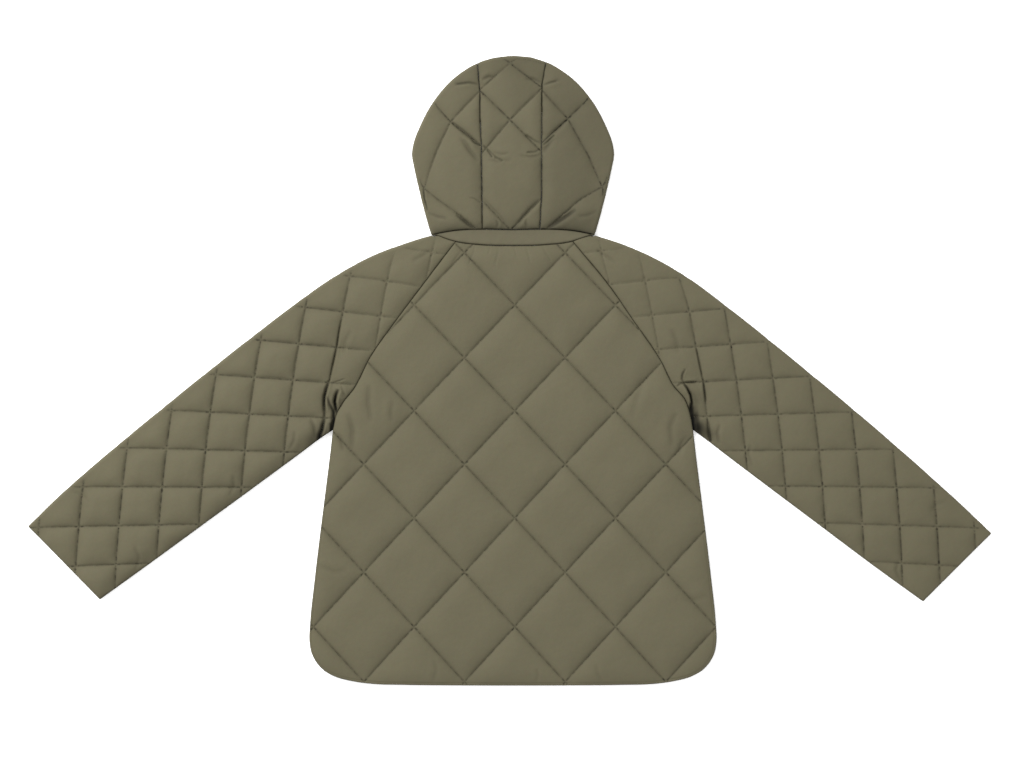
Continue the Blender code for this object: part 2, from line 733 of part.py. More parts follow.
def build_fronts(finish, seams):
    neck_left = seams["neck_front"]
    whole_neck = np.vstack([neck_left, mirrored(neck_left[:-1][::-1])])
    side = soft_curve(mirrored(BODY_EDGE), STEP_HEM)
    hem = np.vstack([side, mirrored(side[:-1][::-1])])
    for hand, name in ((-1, "front_left"), (1, "front_right")):
        inner = -hand * PLACKET_HALF
        span = sorted((hand * 95.0, inner))
        neck = part_between(whole_neck, span[0], span[1])
        # The side seam and hem, from the underarm to the placket's edge.
        points = hem if hand < 0 else np.array(mirrored(hem))
        points = np.array([p for p in points if hand * p[0] > -PLACKET_HALF + 3.0])
        foot = np.array([[inner, np.interp(PLACKET_HALF, (0.0, 80.0), (-463.3, -463.1))]])
        raglan = seams["front_left"] if hand < 0 else seams["front_right"]
        across = neck if hand < 0 else neck[::-1]
        outline = joined(points, foot, across[::-1], raglan[::-1])
        holes = []
        for k in range(STUD_COUNT):
            centre = (0.0, STUD_TOP_Y - STUD_PITCH * k)
            holes.append((centre, stud_room(hand)))
        build_piece(name, FrontLayer(hand), outline, diamond_lines(), finish,
                    STEP_FRONT, UNDER_WALL, 20.0, holes)


def stud_room(hand):
    """The stepped hole for a stud, as radius and height from the outer face in."""
    cap, post, head = STUD_PROFILE[1][0], STUD_PROFILE[3][0], STUD_PROFILE[5][0]
    if hand > 0:
        shelf = STUD_PROFILE[2][1] + STUD_CLEAR
        return ((cap + STUD_CLEAR, 0.0), (cap + STUD_CLEAR, shelf),
                (post + STUD_CLEAR, shelf), (post + STUD_CLEAR, PLACKET_WALL))
    low = MID - SLIT - PLACKET_WALL
    shelf = STUD_PROFILE[4][1] - STUD_CLEAR
    return ((post + STUD_CLEAR, low), (post + STUD_CLEAR, shelf),
            (head + STUD_CLEAR, shelf), (head + STUD_CLEAR, MID - SLIT))


def build_studs(finish):
    for k in range(STUD_COUNT):
        centre = (0.0, STUD_TOP_Y - STUD_PITCH * k)
        points, faces, rings = [], [], []
        for radius, z in STUD_PROFILE:
            ring = []
            for p in circle(centre, radius):
                ring.append(len(points))
                points.append((p[0], p[1], z))
            rings.append(ring)
        for low, high in zip(rings[:-1], rings[1:]):
            bridge(faces, high, low)
        for ring, turn in ((rings[0], -1), (rings[-1], 1)):
            for j in range(1, STUD_SIDES - 1):
                faces.append([ring[0], ring[j], ring[j + 1]][::turn])
        make_object("stud_%d" % (k + 1), points, faces, finish)


def build_sleeve(name, hand, finish, seams, overarm, undersleeve, squares):
    """One sleeve: the overarm is its fold and the undersleeve its seam."""
    curve = soft_curve(overarm, 9.0)
    first = curve[0] - (curve[1] - curve[0]) * 9.0
    way = (curve[-1] - curve[-2]) / np.linalg.norm(curve[-1] - curve[-2])
    last = curve[-1] + way * np.array([[20.0], [40.0], [60.0], [80.0]])
    curve = np.vstack([first[None], curve, last])
    run = along(curve)
    lead = facing(curve, hand)
    cuff_station, neck_station = run[1], run[-5]
    ray = lead.copy()
    lead = eased(lead, run, neck_station, (-hand * 0.93, -0.37), 45.0)
    cuff = np.array(undersleeve[0]) - np.array(overarm[0])
    lead = eased(lead, run, cuff_station, cuff / np.linalg.norm(cuff), 45.0)
    chart = FoldedLayers(curve, lead, lambda base: ray, STEP_SLEEVE)
    low = soft_curve(undersleeve, STEP_SEAM)
    back = seams["back_left" if hand < 0 else "back_right"]
    front = seams["front_left" if hand < 0 else "front_right"]
    neck_top = seams["neck_top_left" if hand < 0 else "neck_top_right"]
    neck_low = seams["neck_low_left" if hand < 0 else "neck_low_right"]
    corner = np.array(overarm[0], float)
    cuff_line = np.array([corner + (low[0] - corner) * t for t in np.linspace(0.12, 1.0, 7)])
    outline = joined(
        chart.bend(cuff_station, -1.0, 1.0),
        chart.flat(cuff_line, 1),
        chart.flat(low[1:], 1),
        chart.flat(back[1:], 1),
        chart.flat(neck_top[1:-1], 1),
        chart.bend(neck_station, 1.0, -1.0),
        chart.flat(neck_low[1:], -1),
        chart.flat(front[::-1][1:], -1),
        chart.flat(low[::-1][1:], -1),
        chart.flat(cuff_line[::-1][1:], -1),
    )
    lines = carried_over(chart, square_lines(squares), 260.0)
    build_piece(name, chart, outline, lines, finish, STEP_SLEEVE, SLEEVE_LOFT, 25.0)


def hood_top(x):
    """Height of the hood's outline over x, along the crown."""
    edge = np.array(HOOD_EDGE[7:])
    return float(np.interp(abs(x), edge[::-1, 0], edge[::-1, 1]))


def build_hood_side(name, hand, finish, seam, band_top, band_low, lines):
    edge = soft_curve([(hand * x, y) for x, y in HOOD_EDGE], 8.0)
    guide = np.array([(hand * x, y) for x, y in HOOD_GUIDE])
    top_x = seam[-1][0]
    keep = edge[hand * edge[:, 0] > hand * top_x + 3.0]
    crown = np.array([[top_x, hood_top(top_x)]])
    beyond = np.array([[top_x * 0.5, hood_top(top_x * 0.5) - 1.0]])
    curve = np.vstack([guide, keep, crown, beyond])
    run = along(curve)
    neck_station, crown_station = run[len(guide)], run[-2]
    pole = np.array([-hand * HOOD_POLE[0], HOOD_POLE[1]])
    lead = facing(curve, hand)
    lead = eased(lead, run, neck_station, (-hand * 1.0, 0.08), 60.0)
    lead = eased(lead, run, crown_station, (0.0, -1.0), 60.0)
    chart = FoldedLayers(curve, lead, lambda base: pole[None] - base, STEP_CROWN)
    top_seam = kept_corners(seam, STEP_SEAM)
    under_seam = kept_corners([(top_x, seam[-1][1]), (hand * FACE_EDGE[0][0], TUCK_Y)], STEP_SEAM)
    face = soft_curve([(hand * x, y) for x, y in FACE_EDGE], STEP_SEAM)[:-1]
    low_band = part_between(band_low, -112.0, -FACE_EDGE[-1][0])
    low_band[0] = (-BAND_TIP[0] + 0.8, BAND_TIP[2] + 0.8)
    low_band = low_band * np.array([-hand, 1.0])
    top_band = part_between(band_top, *sorted((hand * 115.0, seam[0][0])))
    top_band = top_band if hand < 0 else top_band[::-1]
    outline = joined(
        chart.bend(neck_station, -1.0, 1.0),
        chart.flat(top_band, 1),
        chart.flat(top_seam[1:], 1),
        chart.bend(crown_station, 1.0, -1.0),
        chart.flat(under_seam, -1),
        chart.flat(face[1:], -1),
        chart.flat(low_band[::-1], -1),
    )
    flat_lines = [list(chart.flat(kept_corners(line, 12.0), 1)) for line in lines]
    under = [[(hand * x, y) for x, y in line] for line in SIDE_LINES_UNDER]
    flat_lines += [list(chart.flat(kept_corners(line, 12.0), -1)) for line in under]
    build_piece(name, chart, outline, flat_lines, finish, STEP_HOOD, HOOD_LOFT, 40.0)


def build_hood_centre(finish, band_top):
    xs = np.linspace(-70.0, 66.0, 18)
    curve = np.array([(x, hood_top(x)) for x in xs])
    down = np.tile([0.0, -1.0], (len(xs), 1))
    chart = FoldedLayers(curve, down, lambda base: down.copy(), STEP_CROWN)
    left, right = HOOD_SEAM_LEFT, HOOD_SEAM_RIGHT
    u_left = float(np.interp(left[-1][0], xs, chart.run))
    u_right = float(np.interp(right[-1][0], xs, chart.run))
    foot = part_between(band_top, left[0][0], right[0][0])
    tuck = [(-FACE_EDGE[0][0], TUCK_Y), (0.0, TUCK_Y - 3.0), (FACE_EDGE[0][0], TUCK_Y)]
    outline = joined(
        chart.flat(foot, 1),
        chart.flat(kept_corners(right, STEP_SEAM)[1:], 1),
        chart.bend(u_right, 1.0, -1.0),
        chart.flat(kept_corners([right[-1], tuck[2]], STEP_SEAM), -1),
        chart.flat(kept_corners(tuck[::-1], STEP_SEAM)[1:], -1),
        chart.flat(kept_corners([tuck[0], left[-1]], STEP_SEAM)[1:], -1),
        chart.bend(u_left, -1.0, 1.0),
        chart.flat(kept_corners(left, STEP_SEAM)[::-1][:-1], 1),
    )
    lines = [list(chart.flat(kept_corners(line, 12.0), 1)) for line in GUSSET_LINES]
    for line in lines[4:]:
        tip, way = line[-1], line[-1] - line[-2]
        line.append(tip + way / np.hypot(*way) * 110.0)
    build_piece("hood_centre", chart, outline, lines, finish, STEP_HOOD, HOOD_LOFT, 40.0)


def build_collar(finish, seams):
    """The band as sections along the neck, turning from one layer to the other."""
    stations = []               # low point, high point, turn round the slit
    front = list(zip(seams["neck_front"][1:], seams["band_front"][1:]))
    front[-1] = (np.array([-BAND_END, front[-1][0][1]]), np.array([-BAND_END, front[-1][1][1]]))
    tip_low, tip_high = np.array([-BAND_TIP[0], BAND_TIP[1]]), np.array([-BAND_TIP[0], BAND_TIP[2]])
    for a, b in reversed(front):
        stations.append((a, b, -90.0))
    for turn in (-90.0, -45.0, 0.0, 45.0, 90.0):
        stations.append((tip_low, tip_high, turn))
    for a, b in list(zip(seams["neck_back"], seams["band_back"]))[1:-1]:
        stations.append((a, b, 90.0))
    flip = np.array([-1.0, 1.0])
    for turn in (90.0, 45.0, 0.0, -45.0, -90.0):
        stations.append((tip_low * flip, tip_high * flip, turn))
    for a, b in front:
        stations.append((a * flip, b * flip, -90.0))
    points, rings = [], []
    for a, b, turn in stations:
        up = math.sin(math.radians(turn))
        out = math.cos(math.radians(turn)) * (-1.0 if a[0] < 0.0 else 1.0)
        wide = float(np.hypot(*(b - a)))
        gap = SEAM_GAP / wide
        ring = []
        for share, wall in ((gap, 0.62), (0.3, 1.0), (0.7, 1.0), (1.0 - gap, 0.62)):
            q = a + (b - a) * share
            thick = min(BAND_WALL, 2.4 + 0.12 * wide) * wall + (1.0 - wall)
            if up < -0.99 and wall == 1.0:
                thick = UNDER_WALL
            ring.append((q[0] + out * (SLIT + thick), q[1], MID + (SLIT + thick) * up))
        for share in (1.0 - gap, gap):
            q = a + (b - a) * share
            ring.append((q[0] + out * SLIT, q[1], MID + SLIT * up))
        first = len(points)
        points.extend(ring)
        rings.append(list(range(first, first + len(ring))))
    faces = []
    for ring, other in zip(rings[:-1], rings[1:]):
        bridge(faces, ring, other)
    for ring, turn in ((rings[0], 1), (rings[-1], -1)):
        for tri in ((0, 1, 5), (1, 2, 5), (2, 4, 5), (2, 3, 4)):
            faces.append([ring[k] for k in tri][::turn])
    return make_object("collar", points, faces, finish)


def ended_at(run, line):
    """A seam whose last point is moved on to the line that it meets."""
    x = run[-1, 0]
    run[-1, 1] = np.interp(x, line[:, 0], line[:, 1])
    return run


def seam_lines():
    """Every seam line that two pieces share, as one polyline for both."""
    neck_back = soft_curve(NECK_BACK, 0.0, NECK_CHORDS)
    neck_front = soft_curve(mirrored(NECK_FRONT), 0.0, NECK_CHORDS_FRONT)
    neck_right = np.array(mirrored(neck_front))[::-1]
    back_left = ended_at(soft_curve(RAGLAN_BACK_LEFT, STEP_SEAM), neck_back)
    back_right = ended_at(soft_curve(RAGLAN_BACK_RIGHT, STEP_SEAM), neck_back)
    front_left = ended_at(soft_curve(mirrored(RAGLAN_FRONT), STEP_SEAM), neck_front)
    front_right = ended_at(soft_curve(RAGLAN_FRONT, STEP_SEAM), neck_right)
    low_left = part_between(neck_front, neck_front[0, 0], front_left[-1, 0])
    return {
        "neck_back": neck_back,
        "neck_front": neck_front,
        "band_back": soft_curve(BAND_TOP_BACK, 0.0, NECK_CHORDS),
        "band_front": soft_curve(mirrored(BAND_TOP_FRONT), 0.0, NECK_CHORDS_FRONT),
        "back_left": back_left,
        "back_right": back_right,
        "front_left": front_left,
        "front_right": front_right,
        "nape": part_between(neck_back, back_left[-1, 0], back_right[-1, 0]),
        "neck_top_left": part_between(neck_back, -117.0, back_left[-1, 0])[::-1],
        "neck_top_right": part_between(neck_back, back_right[-1, 0], 117.0),
        "neck_low_left": low_left,
        "neck_low_right": np.array(mirrored(low_left)),
    }


def clear_scene():
    for obj in list(bpy.data.objects):
        bpy.data.objects.remove(obj, do_unlink=True)


def main():
    clear_scene()
    shell = new_finish("olive_nylon", (0.168, 0.153, 0.099), 0.55, 0.0)
    sleeve_cloth = new_finish("olive_nylon_sleeve", (0.165, 0.149, 0.098), 0.55, 0.0)
    band = new_finish("olive_nylon_plain", (0.171, 0.156, 0.1), 0.52, 0.0)
    metal = new_finish("dark_stud", (0.07, 0.065, 0.055), 0.4, 0.8)
    seams = seam_lines()
    build_back(shell, seams)
    build_fronts(shell, seams)
    build_studs(metal)
    build_sleeve("sleeve_left", -1, sleeve_cloth, seams, OVERARM_LEFT, UNDERSLEEVE_LEFT, SQUARE_LEFT)
    build_sleeve("sleeve_right", 1, sleeve_cloth, seams, OVERARM_RIGHT, UNDERSLEEVE_RIGHT, SQUARE_RIGHT)
    build_collar(band, seams)
    build_hood_centre(shell, seams["band_back"])
    build_hood_side("hood_left", -1, shell, HOOD_SEAM_LEFT, seams["band_back"],
                    seams["band_front"], SIDE_LINES_LEFT)
    build_hood_side("hood_right", 1, shell, HOOD_SEAM_RIGHT, seams["band_back"],
                    seams["band_front"], SIDE_LINES_RIGHT)


main()
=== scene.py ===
# %% [markdown]
# # A quilted jacket laid flat
# The jacket lies on its front with its back up. It is cut from light quilt, which
# is a woven nylon face, a thin layer of wadding and a nylon lining, sewn together
# along a pattern of lines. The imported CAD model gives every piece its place.
# Each visible piece is then made again with a fine surface.

# %% Load the fixed frame
import math

import bpy
import numpy as np
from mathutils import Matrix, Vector
from mathutils.geometry import delaunay_2d_cdt


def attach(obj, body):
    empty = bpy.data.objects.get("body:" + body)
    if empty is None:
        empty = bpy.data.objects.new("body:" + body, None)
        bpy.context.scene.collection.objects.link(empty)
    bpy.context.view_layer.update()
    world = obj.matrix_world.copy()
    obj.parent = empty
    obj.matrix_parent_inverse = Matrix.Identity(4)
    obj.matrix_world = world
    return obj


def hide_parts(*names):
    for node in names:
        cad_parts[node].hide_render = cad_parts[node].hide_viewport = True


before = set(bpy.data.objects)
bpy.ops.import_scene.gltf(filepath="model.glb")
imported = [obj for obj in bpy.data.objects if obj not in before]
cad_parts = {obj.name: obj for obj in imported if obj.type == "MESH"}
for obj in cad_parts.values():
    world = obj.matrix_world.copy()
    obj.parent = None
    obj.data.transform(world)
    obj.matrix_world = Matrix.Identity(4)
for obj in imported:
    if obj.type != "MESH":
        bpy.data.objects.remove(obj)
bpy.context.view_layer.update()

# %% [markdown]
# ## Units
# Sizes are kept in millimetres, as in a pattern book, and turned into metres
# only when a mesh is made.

MM = 0.001

# %% [markdown]
# ## The cutting table
# The pattern is a short list of curves: sides and hem, raglan seams, neck, collar
# band, sleeves and hood. Every row is x, y in the jacket's own frame, or half
# width, y where the two sides match. A smooth curve is drawn through each list.

# %% Layers of the quilt
MID = 4.6            # height of the plane between the two layers
SLIT = 0.2           # half of the air left between the layers
FOLD_REACH = 4.6     # how far a fold's round reaches in from the outline
SEAM_GAP = 0.06      # each piece stops this far from its seam line
UNDER_WALL = 4.4     # lower layer, pressed flat
UNDER_STITCH = 2.9   # lower layer under a quilting line
TOP_STITCH = 2.5     # upper layer under a quilting line
BODY_LOFT = 7.7      # upper layer in the middle of a body diamond
SLEEVE_LOFT = {-1: 8.4, 1: 7.0}    # upper layer in a sleeve square, left and right
HOOD_LOFT = 7.6      # upper layer in the middle of a hood panel
BAND_WALL = 3.9      # plain collar band

# %% Body
BODY_EDGE = (
    (264.8, -87.5), (268.4, -118.0), (278.4, -198.0), (291.8, -308.0),
    (298.4, -372.0), (299.3, -398.0), (296.4, -415.0), (289.3, -429.0),
    (278.8, -440.5), (263.0, -449.6), (237.0, -456.8), (210.0, -460.6),
    (157.0, -462.4), (80.0, -463.1), (0.0, -463.3),
)
RAGLAN_BACK_LEFT = (
    (-264.8, -87.5), (-258.5, -62.0), (-249.0, -46.0), (-235.7, -29.4),
    (-208.8, 21.3), (-173.5, 71.3), (-131.6, 127.2), (-84.3, 189.4),
)
RAGLAN_BACK_RIGHT = (
    (264.8, -87.5), (260.8, -66.0), (253.4, -43.4), (236.8, -23.5),
    (217.6, 14.0), (176.5, 74.3), (144.1, 121.3), (88.2, 189.4),
)
RAGLAN_FRONT = (
    (264.8, -87.5), (250.0, -66.0), (226.0, -36.0), (190.0, 12.0),
    (152.0, 64.0), (120.0, 108.0), (95.0, 142.0),
)
NECK_BACK = (
    (-119.5, 198.9), (-109.0, 197.6), (-100.0, 194.2), (-84.3, 189.6), (-50.0, 184.9),
    (0.0, 183.4), (50.0, 184.9), (88.2, 190.2), (100.0, 194.2), (111.0, 197.6), (119.5, 198.9),
)
NECK_FRONT = (
    (115.5, 196.8), (110.0, 166.0), (95.0, 142.0), (60.0, 118.0),
    (25.0, 107.0), (0.0, 105.0),
)
BAND_TOP_BACK = (
    (-119.5, 199.8), (-106.0, 202.3), (-90.0, 205.0), (-63.2, 207.3), (-45.2, 207.5),
    (0.0, 206.8), (39.7, 207.5), (66.0, 207.2), (91.0, 205.0), (106.0, 202.3), (119.5, 199.8),
)
BAND_TOP_FRONT = (
    (115.5, 201.0), (98.0, 173.0), (79.0, 155.0), (50.0, 141.0),
    (20.0, 132.0), (0.0, 130.0),
)
BAND_TIP = (117.4, 198.3, 200.7)   # half width, lower y, upper y of the band's fold
BAND_END = 1.2                     # half of the gap between the band's ends
PLACKET_HALF = 20.0                # the fronts overlap by twice this
PLACKET_RAMP = 12.0                # the wadding thins out over this width
PLACKET_WALL = 2.0
STUD_TOP_Y, STUD_PITCH, STUD_COUNT = 78.0, 120.0, 5

# %% Sleeves
OVERARM_LEFT = (
    (-713.2, -228.7), (-665.0, -182.0), (-595.0, -121.0), (-520.0, -59.0),
    (-440.0, 5.5), (-360.0, 68.0), (-295.0, 116.5), (-263.2, 138.0),
    (-236.8, 153.7), (-210.3, 167.2), (-183.8, 178.3), (-157.4, 187.4),
    (-137.0, 194.0), (-120.5, 198.7),
)
OVERARM_RIGHT = (
    (703.7, -239.0), (655.0, -193.0), (585.0, -130.0), (510.0, -65.0),
    (430.0, 1.5), (350.0, 66.5), (296.0, 108.5), (266.2, 130.6),
    (239.7, 147.8), (213.2, 162.7), (186.8, 175.5), (160.3, 186.3),
    (142.6, 192.1), (121.5, 198.7),
)
UNDERSLEEVE_LEFT = (
    (-607.4, -336.8), (-530.0, -281.0), (-450.0, -222.5), (-370.0, -164.0),
    (-310.0, -119.8), (-283.8, -100.2), (-264.8, -87.5),
)
UNDERSLEEVE_RIGHT = (
    (602.9, -339.7), (530.0, -287.0), (450.0, -227.0), (370.0, -167.0),
    (310.0, -121.6), (283.8, -101.4), (264.8, -87.5),
)

# %% Hood
HOOD_EDGE = (
    (120.8, 200.0), (129.4, 230.2), (138.2, 265.4), (146.2, 301.0),
    (149.0, 317.0), (146.8, 333.0), (136.8, 359.6), (117.6, 395.0),
    (86.8, 430.2), (68.0, 443.8), (50.0, 453.9), (26.0, 460.9), (0.0, 463.3),
)
HOOD_GUIDE = (       # the fold line carried on below the neck point
    (20.0, 95.0), (62.0, 107.0), (101.0, 132.0), (119.0, 160.0), (122.0, 185.0),
)
HOOD_SEAM_LEFT = (
    (-45.2, 208.0), (-45.6, 270.0), (-46.5, 330.0), (-48.5, 374.0),
    (-48.6, 411.0), (-51.9, 447.0),
)
HOOD_SEAM_RIGHT = (
    (39.7, 208.2), (42.4, 270.0), (42.2, 330.0), (42.6, 379.0),
    (42.8, 421.0), (47.8, 449.0),
)
TUCK_Y = 381.0       # the crown turns under as far as this
FACE_EDGE = (
    (46.0, 381.0), (52.0, 330.0), (50.0, 260.0), (40.0, 200.0), (26.0, 133.8),
)
HOOD_POLE = (60.0, 320.0)   # the side panels' sections fan from this point

# %% [markdown]
# ## Curves
# A pattern maker bends a thin batten through a few pins. `soft_curve` does the
# same with a cubic between each pair of rows, then sets points along it at an
# even step. Finer steps cost triangles, so the step is one of the arguments.

# %% Curve helpers
def mirrored(table):
    """The same table for the other side of the centre line."""
    return tuple((-x, y) for x, y in table)


def along(points):
    """How far along a polyline each of its points lies."""
    steps = np.linalg.norm(np.diff(points, axis=0), axis=1)
    return np.concatenate(([0.0], np.cumsum(steps)))


def even(points, step):
    """The same polyline with its points at an even step."""
    points = np.array(points, float)
    run = along(points)
    where = np.linspace(0.0, run[-1], max(1, round(run[-1] / step)) + 1)
    return np.column_stack([np.interp(where, run, points[:, k]) for k in range(points.shape[1])])


def soft_curve(table, step):
    """Points at an even step on a smooth curve through a table's rows."""
    p = np.array(table, float)
    if len(p) < 3:
        return even(p, step)
    run = along(p)
    slope = np.gradient(p, run, axis=0)
    dense = []
    for i in range(len(p) - 1):
        h = run[i + 1] - run[i]
        for t in np.linspace(0.0, 1.0, 25)[:-1]:
            a, b = 2 * t**3 - 3 * t**2 + 1, t**3 - 2 * t**2 + t
            c, d = -2 * t**3 + 3 * t**2, t**3 - t**2
            dense.append(a * p[i] + b * h * slope[i] + c * p[i + 1] + d * h * slope[i + 1])
    return even(np.array(dense + [p[-1]]), step)


def kept_corners(table, step):
    """Points at about an even step that also hit every row of the table."""
    p = np.array(table, float)
    parts = [even([a, b], step)[:-1] for a, b in zip(p[:-1], p[1:])]
    return np.vstack(parts + [p[-1:]])


def part_between(curve, x0, x1):
    """The points of a curve that runs in x, cut off at x0 and x1."""
    ys = np.interp([x0, x1], curve[:, 0], curve[:, 1])
    inner = curve[(curve[:, 0] > x0 + 1.0) & (curve[:, 0] < x1 - 1.0)]
    return np.vstack([[(x0, ys[0])], inner, [(x1, ys[1])]])


def joined(*runs):
    """One closed outline from runs of points that follow each other."""
    out = []
    for run in runs:
        for p in run:
            if not out or np.hypot(*(np.array(p) - out[-1])) > 0.5:
                out.append(np.array(p, float))
    if np.hypot(*(out[0] - out[-1])) < 0.5:
        out.pop()
    return np.array(out)


def ended_at(run, line):
    """A seam whose last point is moved on to the line that it meets."""
    run[-1, 1] = np.interp(run[-1, 0], line[:, 0], line[:, 1])
    return run


def signed_area(poly):
    """Area of an outline, above zero if it runs anticlockwise."""
    x, y = poly[:, 0], poly[:, 1]
    return 0.5 * float(np.sum(x * np.roll(y, -1) - y * np.roll(x, -1)))


def inset(poly, gap):
    """The outline moved in by a gap, with mitred corners."""
    ahead = np.roll(poly, -1, axis=0) - poly
    ahead /= np.linalg.norm(ahead, axis=1)[:, None]
    normal = np.column_stack([-ahead[:, 1], ahead[:, 0]])
    mitre = normal + np.roll(normal, 1, axis=0)
    mitre /= np.maximum(np.sum(mitre * normal, axis=1), 0.3)[:, None]
    return poly + gap * mitre


def inside(points, poly):
    """Which points lie in the outline, by counting crossings."""
    hits = np.zeros(len(points), int)
    for k in range(0, len(points), 4000):
        x, y = points[k:k + 4000, 0][:, None], points[k:k + 4000, 1][:, None]
        ax, ay = poly[:, 0][None], poly[:, 1][None]
        bx, by = np.roll(poly[:, 0], -1)[None], np.roll(poly[:, 1], -1)[None]
        rise = np.where(by == ay, 1.0, by - ay)
        hit = ((ay > y) != (by > y)) & (x < (bx - ax) * (y - ay) / rise + ax)
        hits[k:k + 4000] = np.count_nonzero(hit, axis=1)
    return hits % 2 == 1


def near_run(points, run):
    """Distance to a polyline, how far along it, and on which side, for many points."""
    a, d = run[:-1], np.diff(run, axis=0)
    size2 = np.maximum(np.sum(d * d, axis=1), 1e-9)
    start = along(run)[:-1]
    dist, where, side = (np.empty(len(points)) for _ in range(3))
    for k in range(0, len(points), 6000):
        rel = points[k:k + 6000, None, :] - a[None]
        t = np.clip(np.sum(rel * d[None], axis=2) / size2[None], 0.0, 1.0)
        off = rel - t[:, :, None] * d[None]
        gap2 = np.sum(off * off, axis=2)
        best = gap2.argmin(axis=1)
        i = np.arange(len(best))
        dist[k:k + 6000] = np.sqrt(gap2[i, best])
        where[k:k + 6000] = start[best] + t[i, best] * np.sqrt(size2[best])
        cross = d[best, 0] * rel[i, best, 1] - d[best, 1] * rel[i, best, 0]
        side[k:k + 6000] = np.where(cross >= 0.0, 1.0, -1.0)
    return dist, where, side


# %% Seam lines that two pieces share
FINE = 3.0           # step along outlines
neck_back = soft_curve(NECK_BACK, FINE)
neck_front = soft_curve(mirrored(NECK_FRONT), FINE)
neck_right = np.array(mirrored(neck_front))[::-1]
band_back = soft_curve(BAND_TOP_BACK, FINE)
band_front = soft_curve(mirrored(BAND_TOP_FRONT), FINE)
back_seam = {
    -1: ended_at(soft_curve(RAGLAN_BACK_LEFT, FINE), neck_back),
    1: ended_at(soft_curve(RAGLAN_BACK_RIGHT, FINE), neck_back),
}
front_seam = {
    -1: ended_at(soft_curve(mirrored(RAGLAN_FRONT), FINE), neck_front),
    1: ended_at(soft_curve(RAGLAN_FRONT, FINE), neck_right),
}
low_neck = part_between(neck_front, neck_front[0, 0], front_seam[-1][-1, 0])
print("back raglan seams, mm:", [round(along(back_seam[k])[-1]) for k in (-1, 1)])

# %% [markdown]
# ## From the flat pattern to the table
# A body panel lies flat in one layer. A sleeve or a hood panel is one piece of
# cloth that wraps round an edge, so its pattern is drawn flat first, with v > 0
# for the upper layer and v < 0 for the lower, and then rolled round the fold.

# %% Charts
def smooth(x):
    """An ease from 0 to 1."""
    x = np.clip(x, 0.0, 1.0)
    return x * x * (3.0 - 2.0 * x)


class FlatLayer:
    """Cloth that lies flat in one layer: the upper for side 1, the lower for -1."""

    def __init__(self, side):
        self.side = side

    def upper(self, flat):
        return np.full(len(flat), float(self.side > 0))

    def flat(self, plan, side=1):
        return np.array(plan, float)

    def place(self, flat, wall):
        z = MID + self.side * (SLIT + wall)
        return np.column_stack([flat, z * np.ones(len(flat))])

    def embed(self, flat):
        return np.column_stack([flat, np.zeros(len(flat))])


class FrontLayer(FlatLayer):
    """A front, thinned to the placket where the two fronts overlap."""

    def __init__(self, hand):
        super().__init__(-1)
        self.hand = hand

    def place(self, flat, wall):
        t = smooth((self.hand * flat[:, 0] - PLACKET_HALF - 1.0) / PLACKET_RAMP)
        full = MID - SLIT
        inner = np.full(len(flat), full)
        outer = full - wall
        if self.hand > 0:
            inner = PLACKET_WALL + (full - PLACKET_WALL) * t
            outer = np.minimum(outer, inner - 1.2)
        else:
            outer = np.clip(outer, (full - PLACKET_WALL) * (1.0 - t), full - 1.2)
        z = np.where(wall > 0.0, outer, inner)
        return np.column_stack([flat, z])


